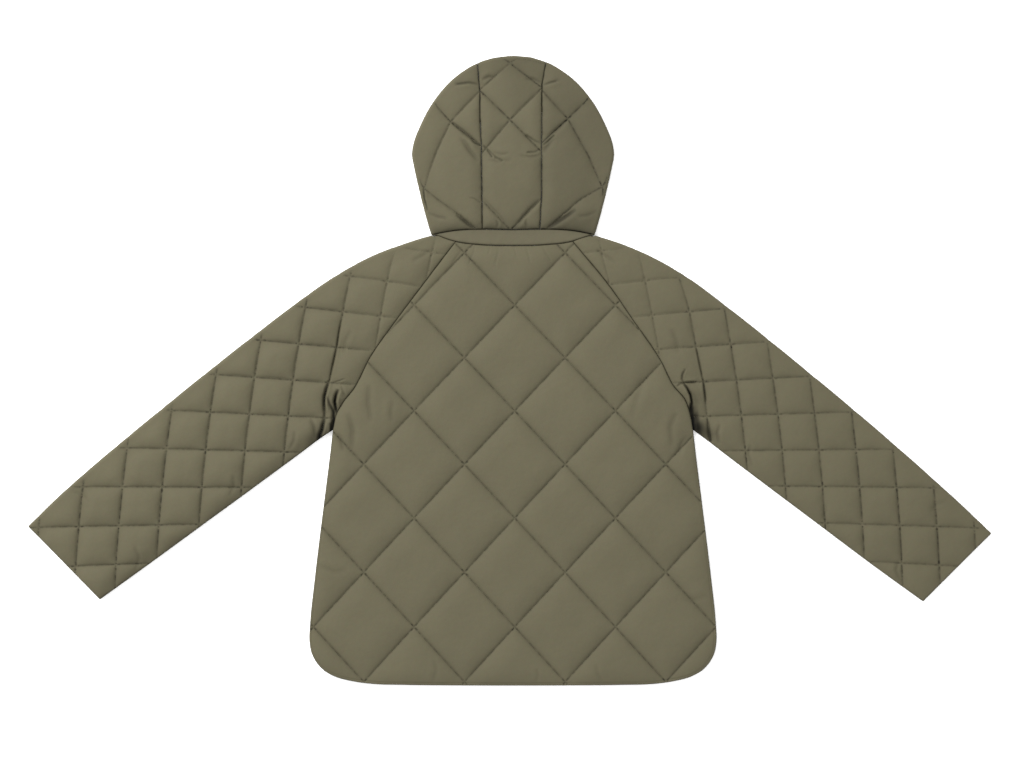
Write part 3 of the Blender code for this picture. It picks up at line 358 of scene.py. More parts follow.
class FoldedLayers:
    """Cloth folded round an edge: u runs along the fold, v across it."""

    def __init__(self, outline, lead, ray):
        run = along(outline)
        fine = np.linspace(0.0, run[-1], int(run[-1]) + 1)
        spread = [np.column_stack([np.interp(fine, run, t[:, k]) for k in range(2)])
                  for t in (outline, lead / np.linalg.norm(lead, axis=1)[:, None])]
        self.run = fine
        self.lead = spread[1] / np.linalg.norm(spread[1], axis=1)[:, None]
        self.base = spread[0] + FOLD_REACH * self.lead
        ray = ray(self.base, fine)
        self.ray = ray / np.linalg.norm(ray, axis=1)[:, None]
        self.arc = 0.25 * math.pi * FOLD_REACH

    def upper(self, flat):
        return (flat[:, 1] >= 0.0).astype(float)

    def at(self, table, u):
        return np.column_stack([np.interp(u, self.run, table[:, k]) for k in range(2)])

    def flat(self, plan, side=1):
        """Flat coordinates of plan points of one layer."""
        p = np.array(plan, float)
        rel = p[:, None, :] - self.base[None]
        turn = rel[..., 0] * self.ray[None, :, 1] - rel[..., 1] * self.ray[None, :, 0]
        reach = np.sum(rel * self.ray[None], axis=2)
        gap = turn[:, :-1] - turn[:, 1:]
        share = turn[:, :-1] / np.where(np.abs(gap) < 1e-12, 1e-12, gap)
        depth = reach[:, :-1] + np.clip(share, 0.0, 1.0) * np.diff(reach, axis=1)
        hit = (turn[:, :-1] * turn[:, 1:] <= 0.0) & (depth > -8.0)
        depth = np.where(hit, depth, 1e9)
        k, i = depth.argmin(axis=1), np.arange(len(p))
        u = self.run[k] + np.clip(share[i, k], 0.0, 1.0) * (self.run[k + 1] - self.run[k])
        return np.column_stack([u, side * (self.arc + np.maximum(depth[i, k], 0.0))])

    def bend(self, u, start, end):
        """Flat points across the fold at one station."""
        return np.array([(u, v * self.arc) for v in np.linspace(start, end, 7)])

    def place(self, flat, wall, lift=1.0):
        u, v = flat[:, 0], np.abs(flat[:, 1])
        side = np.where(flat[:, 1] >= 0.0, 1.0, -1.0)
        turn = np.minimum(v / self.arc, 1.0) * 0.5 * math.pi
        past = np.maximum(v - self.arc, 0.0)[:, None]
        ray = self.at(self.ray, u)
        ray /= np.linalg.norm(ray, axis=1)[:, None]
        reach = SLIT + wall * np.ones(len(u))
        xy = self.at(self.base, u) + past * ray
        xy -= (reach * np.cos(turn))[:, None] * self.at(self.lead, u)
        return np.column_stack([xy, MID + lift * side * reach * np.sin(turn)])

    def embed(self, flat):
        """A spread-out place for measuring: the layers stand well apart."""
        return self.place(flat, UNDER_WALL, 6.0)


def facing(curve, turn):
    t = np.gradient(curve, along(curve), axis=0)
    n = np.column_stack([-t[:, 1], t[:, 0]]) * turn
    return n / np.linalg.norm(n, axis=1)[:, None]


def eased(lead, run, station, target, reach):
    """Swing the fold's direction to a given one near a station."""
    w = smooth(1.0 - np.abs(run - station) / reach)[:, None]
    return lead * (1.0 - w) + np.array(target, float)[None] * w


# %% [markdown]
# ## Unevenness
# Sewn cloth is never even. Each stitch line draws the nylon in, which leaves short
# gathers square to the line, some long and some hardly there. One wandering number
# along a line and one cloud over a plane, both from seeded tables, give all of
# it, so that the jacket comes out the same every time.

# %% Wandering numbers
def wander(s, seed):
    """A smooth random number from -1 to 1 along s, one bend for each unit."""
    table = np.random.default_rng(seed).uniform(-1.0, 1.0, 509)
    k = np.floor(s).astype(int)
    t = smooth(s - k)
    return table[k % 509] * (1.0 - t) + table[(k + 1) % 509] * t


def cloud(x, y, seed):
    """The same over a plane."""
    table = np.random.default_rng(seed).uniform(-1.0, 1.0, (61, 61))
    i, j = np.floor(x).astype(int), np.floor(y).astype(int)
    s, t = smooth(x - i), smooth(y - j)
    low = table[i % 61, j % 61] * (1 - s) + table[(i + 1) % 61, j % 61] * s
    high = table[i % 61, (j + 1) % 61] * (1 - s) + table[(i + 1) % 61, (j + 1) % 61] * s
    return low * (1 - t) + high * t


# %% [markdown]
# ## The quilt's relief
# Between two stitch lines the wadding lifts the nylon: steeply at the stitches and
# nearly level in the middle. The wall's thickness at a point is the stitched wall
# plus the loft, times a share for every line near it. Gathers, a thin thread
# groove and the listed creases are then added.

# %% Shapes across a stitch line
# The groove, the soft shade beside it and the ticks at a crossing are painted shade.
GROOVE_WIDE = 0.85       # half width of the dark groove that the thread lies in
SOFT_REACH = 3.2         # the half shade beside it fades over this distance
KNOT_WIDE = 1.5          # radius of the small knot where two lines cross
TICK_OUT = 4.6           # the four dark ticks lie this far from the knot
FOLD_EASE = 30.0         # the relief grows from nothing to full over this, from a fold
FAR = 99.0


def puff(gap, span, sharp=0.24):
    """Share of the loft at a distance from a stitch line."""
    x = np.minimum(gap / span, 1.0)
    return sharp * (1.0 - np.exp(-gap / 3.0)) + (1.0 - sharp) * (1.0 - (1.0 - x) ** 2.1)


def gathers(gap, where, side, seed, pitch, reach):
    """Short ridges square to a stitch line, uneven in spacing, length and height."""
    s = where / pitch + 0.45 * wander(where / (2.6 * pitch), seed + 3)
    wave = np.where(side > 0, wander(s, seed), wander(s, seed + 11))
    strength = 0.35 + 0.65 * np.abs(wander(where / 27.0, seed + 5))
    length = reach * (0.7 + 0.5 * wander(where / (1.7 * pitch), seed + 7))
    shape = (1.0 - np.exp(-(gap / 1.2) ** 2)) * np.exp(-(gap / length) ** 2)
    return wave * strength * shape


def crease(where, run, width, depth, lip, open_end):
    """A soft trough along a run with a raised lip beside it, and its painted shade."""
    gap, s, side = near_run(where, run)
    t = np.clip(s / along(run)[-1], 0.0, 1.0)
    taper = np.sin(math.pi * (0.5 * t if open_end else t)) ** 0.6
    trough = np.exp(-(gap / width) ** 2)
    ridge = 0.45 * abs(lip) * np.exp(-((gap - 2.3 * width) / (1.3 * width)) ** 2)
    lipped = side * np.sign(lip) > 0
    if lip:
        ridge = ridge * np.where(lipped, 1.0, 0.2)
    # Painted shade: the overhanging side of a deep fold keeps light out of a wider strip.
    core = np.exp(-(gap / (0.95 * width)) ** 4)
    strip = (0.42 + 0.12 * max(depth - 3.2, 0.0)) * np.exp(-gap / (1.9 * width))
    strip *= np.where(lipped, 0.25, 1.0)
    dark = min(depth / 3.2, 1.0) ** 1.6 * np.maximum(core, strip)
    return depth * taper * (ridge - trough), dark * taper ** 0.7


def fully(where):
    """A share of one at every place."""
    return np.ones(len(where))


# %% [markdown]
# ## One cut piece
# A panel holds what a cutter and a quilter would write on its pattern. Most pieces
# are sewn the same way, so the class keeps the usual values and a piece states only
# what differs on it. Its wall is worked out at any point of the flat pattern: first
# the stitch lines, then the fold and the edge, then the creases.

# %% Relief of one panel
class Panel:
    """One cut piece of quilt: its chart, outline, stitch lines and creases."""

    # How a piece is sewn, in millimetres and in shares of one.
    gather = (0.22, 7.5, 5.0)     # gathers at a stitch line: height, pitch and reach
    # The settings groove, seam_dark, hollows and tucks set painted shade.
    groove = 0.62                 # how dark a stitch line is
    weights = None                # a factor on that for each line
    calm = staticmethod(fully)    # share of the relief that each place keeps
    edge_span = None              # distance from the edge to full loft, or the span
    edge_round = 1.8              # width of the rolled edge
    edge_drop = staticmethod(fully)     # share of the loft lost at the edge
    rim_wall = 1.3                # wall right at the edge
    seam_dark, seam_wide = 0.58, 0.75   # how dark and how wide the seam's line is
    seam_pull = 0.2               # height of the gathers along the seams
    dents = ()                    # centre, radius and depth of each pressed spot
    hollows = ()                  # places where light is lost
    tucks = ()                    # runs beside which light is lost: share and reach

    def __init__(self, name, chart, outline, lines, creases, loft, span, seed, **sewing):
        for setting, value in sewing.items():
            setattr(self, setting, value)
        self.name, self.chart = name, chart
        self.loft, self.span, self.seed = loft, span, seed
        self.poly = inset(outline if signed_area(outline) > 0 else outline[::-1], SEAM_GAP)
        self.rim = chart.embed(np.vstack([self.poly, self.poly[:1]]))
        pairs = [(run, weight) for line, weight in zip(lines, self.weights or [1.0] * len(lines))
                 for run in self.clipped(line)]
        self.lines, self.weights = [p[0] for p in pairs], [p[1] for p in pairs]
        self.runs = [chart.embed(even(run, 8.0)) for run in self.lines]
        self.folds = [(chart.flat(even(c[0], 2.5), c[5] if len(c) > 5 else 1), c)
                      for c in creases]
        self.tucks = [(chart.embed(chart.flat(even(run, 4.0))), strength, reach)
                      for run, strength, reach in self.tucks]

    def clipped(self, line):
        """The stretches of a line that lie in the outline, clear of the rim."""
        fine = even(line, 2.0)
        rim = self.chart.embed(fine)
        keep = inside(fine, self.poly) & (near_run(rim, self.rim)[0] > 0.9)
        cuts = np.nonzero(np.diff(keep.astype(int)))[0] + 1
        parts = [fine[k] for k in np.split(np.arange(len(fine)), cuts) if keep[k[0]]]
        return [part for part in parts if len(part) > 4]

    def stitch_relief(self, where):
        """Loft kept above, wall kept below, ruffle and painted shade from all stitch lines."""
        high, low, ruffle, shade, first, second = (
            np.full(len(where), value) for value in (1.0, 1.0, 0.0, 0.0, FAR, FAR))
        height, pitch, reach = self.gather
        calm = self.calm(where)
        for k, (run, weight) in enumerate(zip(self.runs, self.weights)):
            gap, s, side = near_run(where, run)
            seed = self.seed + 37 * k
            high *= 1.0 - (0.35 + 0.65 * calm) * (1.0 - puff(gap, self.span))
            low *= 1.0 - np.exp(-(gap / SOFT_REACH) ** 1.4)
            ruffle += height * gathers(gap, s, side, seed, pitch, reach)
            ruffle -= 0.6 * np.exp(-gap ** 2)
            # Painted shade: dark in the thread's groove, softer beside it.
            dark = self.groove * weight * calm
            core = dark * (0.8 + 0.4 * wander(s / 4.0, seed + 1))
            shade = np.maximum(shade, core * np.exp(-(gap / GROOVE_WIDE) ** 2))
            shade = np.maximum(shade, 0.2 * dark * np.exp(-gap / SOFT_REACH))
            second = np.minimum(second, np.maximum(first, gap))
            first = np.minimum(first, gap)
        # Where two lines cross, the lift between them ends in a small knot, left lighter in
        # the painted shade, with a tick of painted shade on each of its four sides.
        knot = np.hypot(first, second)
        tick = np.exp(-((second - TICK_OUT) / 1.8) ** 2) * np.exp(-(first / 0.9) ** 2)
        ruffle += 0.55 * np.exp(-(knot / KNOT_WIDE) ** 2) - 0.5 * tick
        shade = np.clip(shade + 0.45 * self.groove * tick, 0.0, 1.0)
        return high, low, ruffle, shade * (1.0 - 0.55 * np.exp(-(knot / 1.3) ** 2))

    def rolled(self, wall, edge, up, free):
        """The wall thinned to the edge in a quarter round."""
        for_edge = np.clip(edge / (self.edge_round * (0.4 + 0.6 * free)), 0.0, 1.0)
        wall = np.maximum(wall, 1.15)
        rest = np.minimum(self.rim_wall + (3.4 - self.rim_wall) * (1.0 - free), wall)
        wall = rest + (wall - rest) * np.sqrt(1.0 - (1.0 - for_edge) ** 2)
        return np.where(up > 0.5, wall, np.minimum(wall, UNDER_WALL))

    def with_seams(self, shade, edge, along_edge):
        """Painted shade deepened along the edge, where a seam swallows the light."""
        seam = self.seam_dark * (0.84 + 0.36 * wander(along_edge / 7.0, self.seed + 9))
        wide = self.seam_wide * (0.9 + 0.4 * wander(along_edge / 7.0, self.seed + 13))
        shade = np.maximum(shade, seam * np.exp(-(edge / wide) ** 2))
        return np.maximum(shade, 0.16 * seam * np.exp(-edge / 3.5))

    def with_hollows(self, shade, where, up):
        """Painted shade deepened in the upper layer's hollows and beside its tucks."""
        light = 1.0 - np.clip(shade, 0.0, 1.0)
        for x, y, wide, tall, strength in self.hollows:
            away = np.hypot((where[:, 0] - x) / wide, (where[:, 1] - y) / tall)
            light *= 1.0 - strength * up * np.exp(-away ** 3)
        for run, strength, reach in self.tucks:
            light *= 1.0 - strength * up * np.exp(-near_run(where, run)[0] / reach)
        return 1.0 - light

    def wall(self, flat):
        """Thickness of the quilt at flat points, and the painted shade on them."""
        where, up = self.chart.embed(flat), self.chart.upper(flat)
        high, low, ruffle, shade = self.stitch_relief(where)
        edge, along_edge, _ = near_run(where, self.rim)
        # Round a fold the cloth is under tension, so its outline stays nearly smooth.
        free, loft = np.ones(len(flat)), self.loft
        folded = isinstance(self.chart, FoldedLayers)
        if folded:
            from_fold = np.abs(flat[:, 1])
            free = smooth(from_fold / FOLD_EASE)
            loft = UNDER_WALL + (self.loft - UNDER_WALL) * smooth(0.1 + from_fold / 46.0)
        base = TOP_STITCH + (4.0 - TOP_STITCH) * (1.0 - free)
        edge_span = self.edge_span or self.span
        high *= 1.0 - self.edge_drop(where) * (1.0 - puff(edge, edge_span, 0.12))
        broad = 0.28 * cloud(where[:, 0] / 38.0, where[:, 1] / 31.0, self.seed + 1)
        broad += 0.12 * cloud(where[:, 0] / 15.0, where[:, 1] / 17.0, self.seed + 2)
        ruffle += self.seam_pull * gathers(edge, along_edge, fully(flat),
                                           self.seed + 23, 6.5, 6.0)
        top = base + (loft - base) * high * (1.0 + 0.16 * broad * free)
        top += (0.12 + 0.88 * free) * (ruffle + 0.45 * broad * smooth(edge / 12.0))
        under = UNDER_STITCH + (UNDER_WALL - UNDER_STITCH) * low + 0.35 * np.minimum(ruffle, 0.0)
        thin = 2.5 + (UNDER_WALL - 2.5) * (1.0 - (1.0 - np.minimum(edge / 10.0, 1.0)) ** 2)
        under = np.minimum(under, thin)
        if folded:
            under = np.maximum(under, 4.0 - 2.0 * free)
            up = smooth((flat[:, 1] + 5.0) / 10.0)
        wall = under + (top - under) * up
        for run, c in self.folds:
            push, dark = crease(where, self.chart.embed(run), *c[1:5])
            wall += push * (0.15 + 0.85 * free)
            shade = np.maximum(shade, dark)
        for centre, radius, depth in self.dents:
            gap = np.hypot(flat[:, 0] - centre[0], flat[:, 1] - centre[1])
            wall -= depth * (1.0 - smooth((gap - radius) / 2.0))
        wall = self.rolled(wall, edge, up, free)
        shade = self.with_seams(shade, edge, along_edge)
        return wall, self.with_hollows(shade, where, up)


# %% [markdown]
# ## A mesh that follows the stitching
# An even grid would need millions of triangles to show a thread groove one
# millimetre wide. Instead the points are set in rows beside every stitch line,
# crease and edge, and spread wider between them. Delaunay triangulation then joins
# them into a clean net. The inner face is hidden, so it gets far fewer points.

# %% Rows of points
LINE_ROWS = (0.0, -0.8, 0.8, -1.9, 1.9, -3.4, 3.4, -5.6, 5.6)
LINE_ROWS_UNDER = (0.0, -2.0, 2.0, -4.6, 4.6)
FOLD_ROWS = (0.0, -0.8, 0.8, -1.6, 1.6, -2.4, 2.4, -3.3, 3.3, -4.6, 4.6)
RIM_ROWS = (0.35, 0.9, 1.7, 2.8, 4.6)
CREASE_ROWS = (0, -0.45, 0.45, -1, 1, -1.7, 1.7, -2.6, 2.6)      # in crease widths


def rows_beside(run, offsets, step):
    """Rows of points on both sides of a run, at the given offsets."""
    fine = even(run, step)
    ahead = np.gradient(fine, axis=0)
    ahead /= np.maximum(np.linalg.norm(ahead, axis=1), 1e-9)[:, None]
    normal = np.column_stack([-ahead[:, 1], ahead[:, 0]])
    slide = 0.5 * step * ahead
    return np.vstack([fine + off * normal + (k % 2) * slide for k, off in enumerate(offsets)])


def staggered(poly, step):
    """Rows of points that cover an outline."""
    lo, hi = poly.min(axis=0), poly.max(axis=0)
    ys = np.arange(lo[1] + 0.43 * step, hi[1], 0.866 * step)
    rows = []
    for k, y in enumerate(ys):
        xs = np.arange(lo[0] + (0.25 + 0.5 * (k % 2)) * step, hi[0], step)
        rows.append(np.column_stack([xs, np.full(len(xs), y)]))
    points = np.vstack(rows)
    return points[inside(points, poly)]


def thinned(points, cell):
    """Drop points that share a small cell with an earlier one."""
    key = np.round(points / cell).astype(np.int64)
    _, first = np.unique(key, axis=0, return_index=True)
    return points[np.sort(first)]


# %% Triangles
def net(poly, loose):
    """Triangles inside an outline through its own and some loose points."""
    n = len(poly)
    points = [Vector(p) for p in np.vstack([poly, loose]).tolist()]
    ring = [(k, (k + 1) % n) for k in range(n)]
    verts, _, faces, origin, _, _ = delaunay_2d_cdt(points, ring, [list(range(n))], 1, 1e-5, True)
    named = {s: i for i, sources in enumerate(origin) for s in sources}
    rim = [named[k] for k in range(n)]
    place = {v: k for k, v in enumerate(rim)}
    kept = []
    for face in faces:
        # A sliver outside a hollow stretch of the rim runs round it the wrong way.
        i, j, k = (place.get(v, -1) for v in face)
        if min(i, j, k) < 0 or (j - i) % n < (k - i) % n:
            kept.append(list(face))
    return np.array([tuple(v) for v in verts]), kept, rim


# %% Points of a panel
def panel_points(panel, fine, coarse):
    """Loose points of a panel's outer face."""
    folded = isinstance(panel.chart, FoldedLayers)
    sets = []
    for run in panel.lines:
        upper = panel.chart.upper(run).mean() > 0.5
        sets.append(rows_beside(run, LINE_ROWS if upper else LINE_ROWS_UNDER,
                                2.6 if upper else 4.2))
    for run, c in panel.folds:
        sets.append(rows_beside(run, [k * c[1] for k in CREASE_ROWS], 2.4))
    if folded:
        ends = panel.poly[:, 0].min(), panel.poly[:, 0].max()
        sets.append(rows_beside(np.array([(u, 0.0) for u in ends]), FOLD_ROWS, 2.6))
    beside = thinned(np.vstack(sets), 0.55)
    ring = np.vstack([panel.poly, panel.poly[:1]])
    rim = rows_beside(ring, RIM_ROWS, 2.6)
    spread = staggered(panel.poly, fine)
    up = panel.chart.upper(spread) > 0.5
    if folded:
        up |= np.abs(spread[:, 1]) < 9.0
    low = staggered(panel.poly, coarse)
    low = low[(panel.chart.upper(low) < 0.5) & (np.abs(low[:, 1]) > 9.0)]
    spread = np.vstack([spread[up], low])
    flat_gap = np.full(len(spread), FAR)
    for run in panel.lines + [f[0] for f in panel.folds]:
        flat_gap = np.minimum(flat_gap, near_run(spread, even(run, 8.0))[0])
    loose = np.vstack([beside, rim, spread[flat_gap > 6.6]])
    loose = loose[inside(loose, panel.poly)]
    return loose[near_run(loose, ring)[0] > 0.3]


print("point and net helpers ready")

# %% [markdown]
# ## Closing the wall
# Outer face, inner face and the rim between them make one closed mesh. The point
# layer "shade" keeps how deep each point lies in a stitch groove, a seam or a
# crease, and the cloth's material mixes a near black in there from it: painted
# shade where little light gets in.

# %% Mesh building
ALL_PIECES = {}


def bridge(faces, ring, other):
    n = len(ring)
    for k in range(n):
        faces.append([ring[(k + 1) % n], ring[k], other[k], other[(k + 1) % n]])


def solid_mesh(name, points, faces, finish, shade=None):
    """An object from millimetre points, with its faces turned out."""
    coords = np.array(points, float) * MM
    tri = np.array([f[:3] for f in faces] + [[f[0], f[2], f[3]] for f in faces if len(f) > 3])
    a, b, c = (coords[tri[:, k]] for k in range(3))
    if float(np.sum(a * np.cross(b, c))) < 0.0:
        faces = [f[::-1] for f in faces]
    mesh = bpy.data.meshes.new(name)
    mesh.from_pydata(coords.tolist(), [], faces)
    mesh.update()
    mesh.shade_smooth()
    if shade is not None:
        layer = mesh.attributes.new("shade", "FLOAT", "POINT")
        layer.data.foreach_set("value", np.asarray(shade, np.float32))
    mesh.materials.append(finish)
    obj = bpy.data.objects.new(name, mesh)
    bpy.context.scene.collection.objects.link(obj)
    ALL_PIECES[name] = obj
    return obj


def sew_panel(panel, finish, fine, coarse):
    """The panel as one closed mesh. Returns the object and its cloth area in m2."""
    ov, of, orim = net(panel.poly, panel_points(panel, fine, coarse))
    iv, inf, irim = net(panel.poly, staggered(panel.poly, 16.0))
    wall, shade = panel.wall(ov)
    outer = panel.chart.place(ov, wall)
    inner = panel.chart.place(iv, np.zeros(len(iv)))
    start = len(outer)
    faces = of + [[start + k for k in reversed(f)] for f in inf]
    bridge(faces, orim, [start + k for k in irim])
    # The inner face gets a light painted shade.
    shade = np.concatenate([shade, np.full(len(iv), 0.15)])
    obj = solid_mesh(panel.name, np.vstack([outer, inner]), faces, finish, shade)
    tri = inner[np.array(inf)]
    cross = np.cross(tri[:, 1] - tri[:, 0], tri[:, 2] - tri[:, 0])
    area = 0.5 * float(np.linalg.norm(cross, axis=1).sum()) * MM * MM
    print(panel.name, "faces", len(faces), "cloth", round(area, 4), "m2")
    return obj, area

# %% [markdown]
# ## Quilting lines
# The body is quilted in large diamonds before it is cut, so the lines run straight
# across it. The sleeves have small squares that stand straight with the body, and
# so lie askew on the arm. The hood's lines were drawn from crossing to
# crossing. All are carried on round the fold, because the cloth underneath is the
# same piece. A weight says how dark a line's painted shade is.

# %% Line tables
DIAMOND_X, DIAMOND_Y, DIAMOND_GROW = 74.0, 76.6, 0.28
DIAMOND_ORIGIN = (2.9, 172.8)
SQUARE_LEFT = (      # origin, per column, per row, twist and bow, x then y
    (-451.6, 57.7, -6.3, 0.56, 0.64), (-116.9, -1.5, -55.1, 1.3, 0.17),
)
SQUARE_RIGHT = (
    (450.0, -54.1, 5.8, -0.3, -0.66), (-117.0, -0.5, -54.0, 1.14, 0.15),
)
GUSSET_LINES = (
    ((-48.5, 411.0), (-4.4, 368.4), (42.1, 321.3)),
    ((42.8, 415.5), (-4.4, 368.4), (-46.6, 318.0)),
    ((-45.3, 250.0), (-6.0, 209.0)),
    ((40.5, 250.7), (-1.0, 209.0)),
    ((-48.6, 412.0), (-4.4, 451.5), (8.0, 462.0)),
    ((42.8, 415.5), (-4.4, 451.5), (-14.0, 461.0)),
)
GUSSET_WEIGHTS = (1.2, 0.75, 0.8, 1.0, 0.5, 0.9)
SIDE_LINES_LEFT = (
    ((-117.0, 393.0), (-91.8, 365.4), (-46.6, 330.1)),
    ((-48.6, 411.0), (-91.8, 365.4), (-111.8, 322.8), (-125.0, 287.5), (-134.0, 252.0)),
    ((-141.0, 280.0), (-128.4, 265.4), (-110.3, 250.7), (-79.4, 228.7), (-54.4, 208.4)),
)
SIDE_WEIGHTS_LEFT = (1.25, 0.65, 1.0)
SIDE_LINES_RIGHT = (
    ((112.0, 400.0), (80.9, 369.9), (42.4, 334.6)),
    ((42.8, 411.6), (80.9, 369.9), (111.8, 314.0), (130.9, 269.9), (136.5, 256.0)),
    ((141.5, 283.1), (130.9, 269.9), (98.5, 250.7), (50.0, 208.6)),
)
SIDE_WEIGHTS_RIGHT = (1.6, 1.15, 1.0)
SIDE_LINES_UNDER = (
    ((117.0, 395.0), (86.0, 356.0), (52.0, 318.0)),
    ((134.0, 252.0), (112.0, 290.0), (84.0, 330.0), (47.0, 372.0)),
    ((141.0, 280.0), (104.0, 240.0), (70.0, 208.0), (39.0, 186.0)),
)


def diamond_lines():
    """Both families of the body's lines."""
    lines = []
    for start in range(-13, 14, 2):
        for way in (-1, 1):
            run = []
            for j in range(-1, 10):
                i = start + way * j
                if abs(i) <= 6:
                    x = DIAMOND_ORIGIN[0] + DIAMOND_X * i
                    run.append((x, DIAMOND_ORIGIN[1] - DIAMOND_Y * j - DIAMOND_GROW * j * j))
            if len(run) > 1:
                lines.append(run)
    return lines


# %% Squares of the sleeves
# The underarm fold pulls one column of each sleeve out of line.
PULLED_LEFT = (
    (-249.8, 86.0), (-255, 60), (-259, 34), (-265, 7), (-270, -17), (-274, -27), (-277, -38),
    (-277.5, -48), (-276.5, -62), (-278, -76), (-280.5, -86), (-285, -100), (-291, -125),
)
PULLED_RIGHT = (
    (259.5, 87.0), (269, 35), (274.5, 9), (279.9, -16.5), (282.4, -38.5),
    (285.3, -68), (289, -98), (292, -125),
)
PULLED_COLUMN = 9


def square_lines(sizes, pulled):
    """Both families of a sleeve's lines, columns first."""
    def crossing_at(i, j):
        u, v = i - 4, j - 7
        return [one + col * u + row * v + twist * u * v + bow * v * v
                for one, col, row, twist, bow in sizes]

    columns = [[crossing_at(i, j) for j in np.arange(-1, 13, 0.5)] for i in range(-2, 12)]
    straight = [p for p in columns[PULLED_COLUMN] if p[1] > pulled[0][1] + 12.0]
    columns[PULLED_COLUMN] = straight + list(pulled)
    rows = [[crossing_at(i, j) for i in np.arange(-3, 13, 0.5)] for j in range(0, 12)]
    return columns + rows


def carried_over(chart, lines, reach):
    """Upper-layer lines in flat coordinates, carried straight on past the fold."""
    out, kept = [], []
    for number, line in enumerate(lines):
        q = np.array(line, float)
        near = np.linalg.norm(chart.base[None] - q[:, None], axis=2).argmin(axis=1)
        depth = np.sum((q - chart.base[near]) * chart.ray[near], axis=1)
        q = q[(near > 0) & (near < len(chart.base) - 1) & (depth > 2.0)]
        if len(q) < 2:
            continue
        flat = list(chart.flat(q, 1))
        for where in (0, -1):
            tip = flat[where]
            way = tip - flat[1 if where == 0 else -2]
            if way[1] < 0.0 and abs(way[1]) > 0.2 * np.hypot(*way):
                far = tip + way / np.hypot(*way) * reach
                flat = [far] + flat if where == 0 else flat + [far]
        out.append(flat)
        kept.append(number)
    return out, kept


COLUMNS = 14         # a sleeve's first lines are its columns, and the others its rows
# The rows' painted shade is lighter than the columns', left and right.
ROW_WEIGHT = {-1: 0.82, 1: 0.6}
print("body lines:", len(diamond_lines()))
print("sleeve lines:", len(square_lines(SQUARE_LEFT, PULLED_LEFT)))

# %% [markdown]
# ## Creases
# A garment on a table is creased where it had to bend: deep at the underarms,
# fanned under the nape, and soft down the sides. Each row gives a run of points,
# half width, depth, the side that its lip rises on, and whether it runs out at an
# edge. A last -1 puts it on the lower layer. They're as uneven as real ones, and
# the hidden side has its own.

# %% Crease tables
BACK_CREASES = (
    (((-72, 184), (-77, 174), (-88, 160)), 1.6, 0.45, 0, True),
    (((-55, 185), (-58, 173), (-64, 158)), 1.5, 0.50, 0, True),
    (((-33, 185), (-34, 178), (-36, 171)), 1.4, 0.35, 0, True),
    (((-21, 184), (-22, 172), (-26, 157)), 1.8, 0.50, 0, True),
    (((2, 183), (3, 176), (5, 169)), 1.4, 0.40, 0, True),
    (((19, 184), (22, 172), (25, 160)), 1.6, 0.50, 0, True),
    (((43, 185), (47, 174), (55, 162)), 1.6, 0.55, 0, True),
    (((66, 187), (70, 179), (77, 170)), 1.5, 0.40, 0, True),
    (((-212, -20), (-213, -48), (-209, -76)), 4.5, 1.1, 1, False),
    (((-176, -43), (-179, -60), (-178, -76)), 3.6, 0.8, -1, False),
    (((-243, -62), (-236, -88), (-238, -118)), 5.0, 1.2, 1, False),
    (((-258, -92), (-252, -104), (-249, -119)), 3.2, 1.0, -1, False),
    (((192, -8), (182, -38), (172, -71)), 5.0, 0.8, 1, False),
    (((240, -60), (231, -84), (233, -112)), 4.2, 1.0, -1, False),
    (((256, -95), (247, -108), (243, -127)), 3.4, 0.9, 1, False),
    (((-286, -285), (-262, -296), (-243, -292)), 4.2, 0.7, 1, False),
    (((288, -330), (263, -338), (246, -333)), 4.6, 0.6, -1, False),
    (((-118, -459), (-112, -441), (-116, -424)), 3.4, 0.6, 1, False),
    (((131, -459), (124, -444), (121, -430)), 3.0, 0.6, -1, False),
    (((33, -460), (37, -448), (35, -436)), 2.8, 0.5, 1, False),
)
SLEEVE_LEFT_CREASES = (
    (((-252, 74), (-255, 60), (-259, 34), (-265, 7), (-270, -17)), 1.3, 2.2, 1, False),
    (((-270, -14), (-274, -27), (-277, -38), (-277.5, -48), (-276.5, -66)), 1.7, 5.2, 1, False),
    (((-276.5, -64), (-278, -76), (-280.5, -86), (-285, -100)), 2.0, 5.0, 1, True),
    (((-256, -27), (-260, -36), (-262, -46), (-260, -56), (-257, -66)), 2.2, 5.4, 1, False),
    (((-273, -38), (-269, -50), (-264, -60), (-263, -72), (-264, -88)), 2.2, 4.2, -1, True),
    (((-268, -76), (-267, -84), (-268, -92)), 2.6, 3.6, 0, True),
    (((-246, -12), (-254, -15), (-264, -18)), 1.2, 1.0, 1, False),
    (((-253, -22), (-247, -36), (-243, -40)), 1.6, 1.0, 1, False),
    (((-298, -70), (-292, -84), (-290, -100)), 3.2, 1.5, 1, False),
    (((-238, 60), (-247, 42), (-249, 24)), 3.6, 0.9, 1, False),
    (((-330, -118), (-322, -104), (-321, -88)), 2.6, 1.1, -1, False),
    (((-418, -186), (-410, -170), (-411, -152)), 3.0, 0.9, 1, False),
    (((-556, -296), (-549, -276), (-556, -258)), 3.0, 0.9, -1, False),
    (((-650, -176), (-633, -182), (-622, -194)), 3.4, 0.7, 1, False),
    (((-120, 178), (-134, 168), (-150, 160)), 3.0, 0.9, -1, False),
    (((-300, -90), (-312, -60), (-318, -30)), 3.4, 1.0, 1, False, -1),
    (((-420, -160), (-430, -120), (-428, -90)), 4.0, 0.9, -1, False, -1),
    (((-560, -270), (-580, -240), (-584, -210)), 3.6, 0.9, 1, False, -1),
)
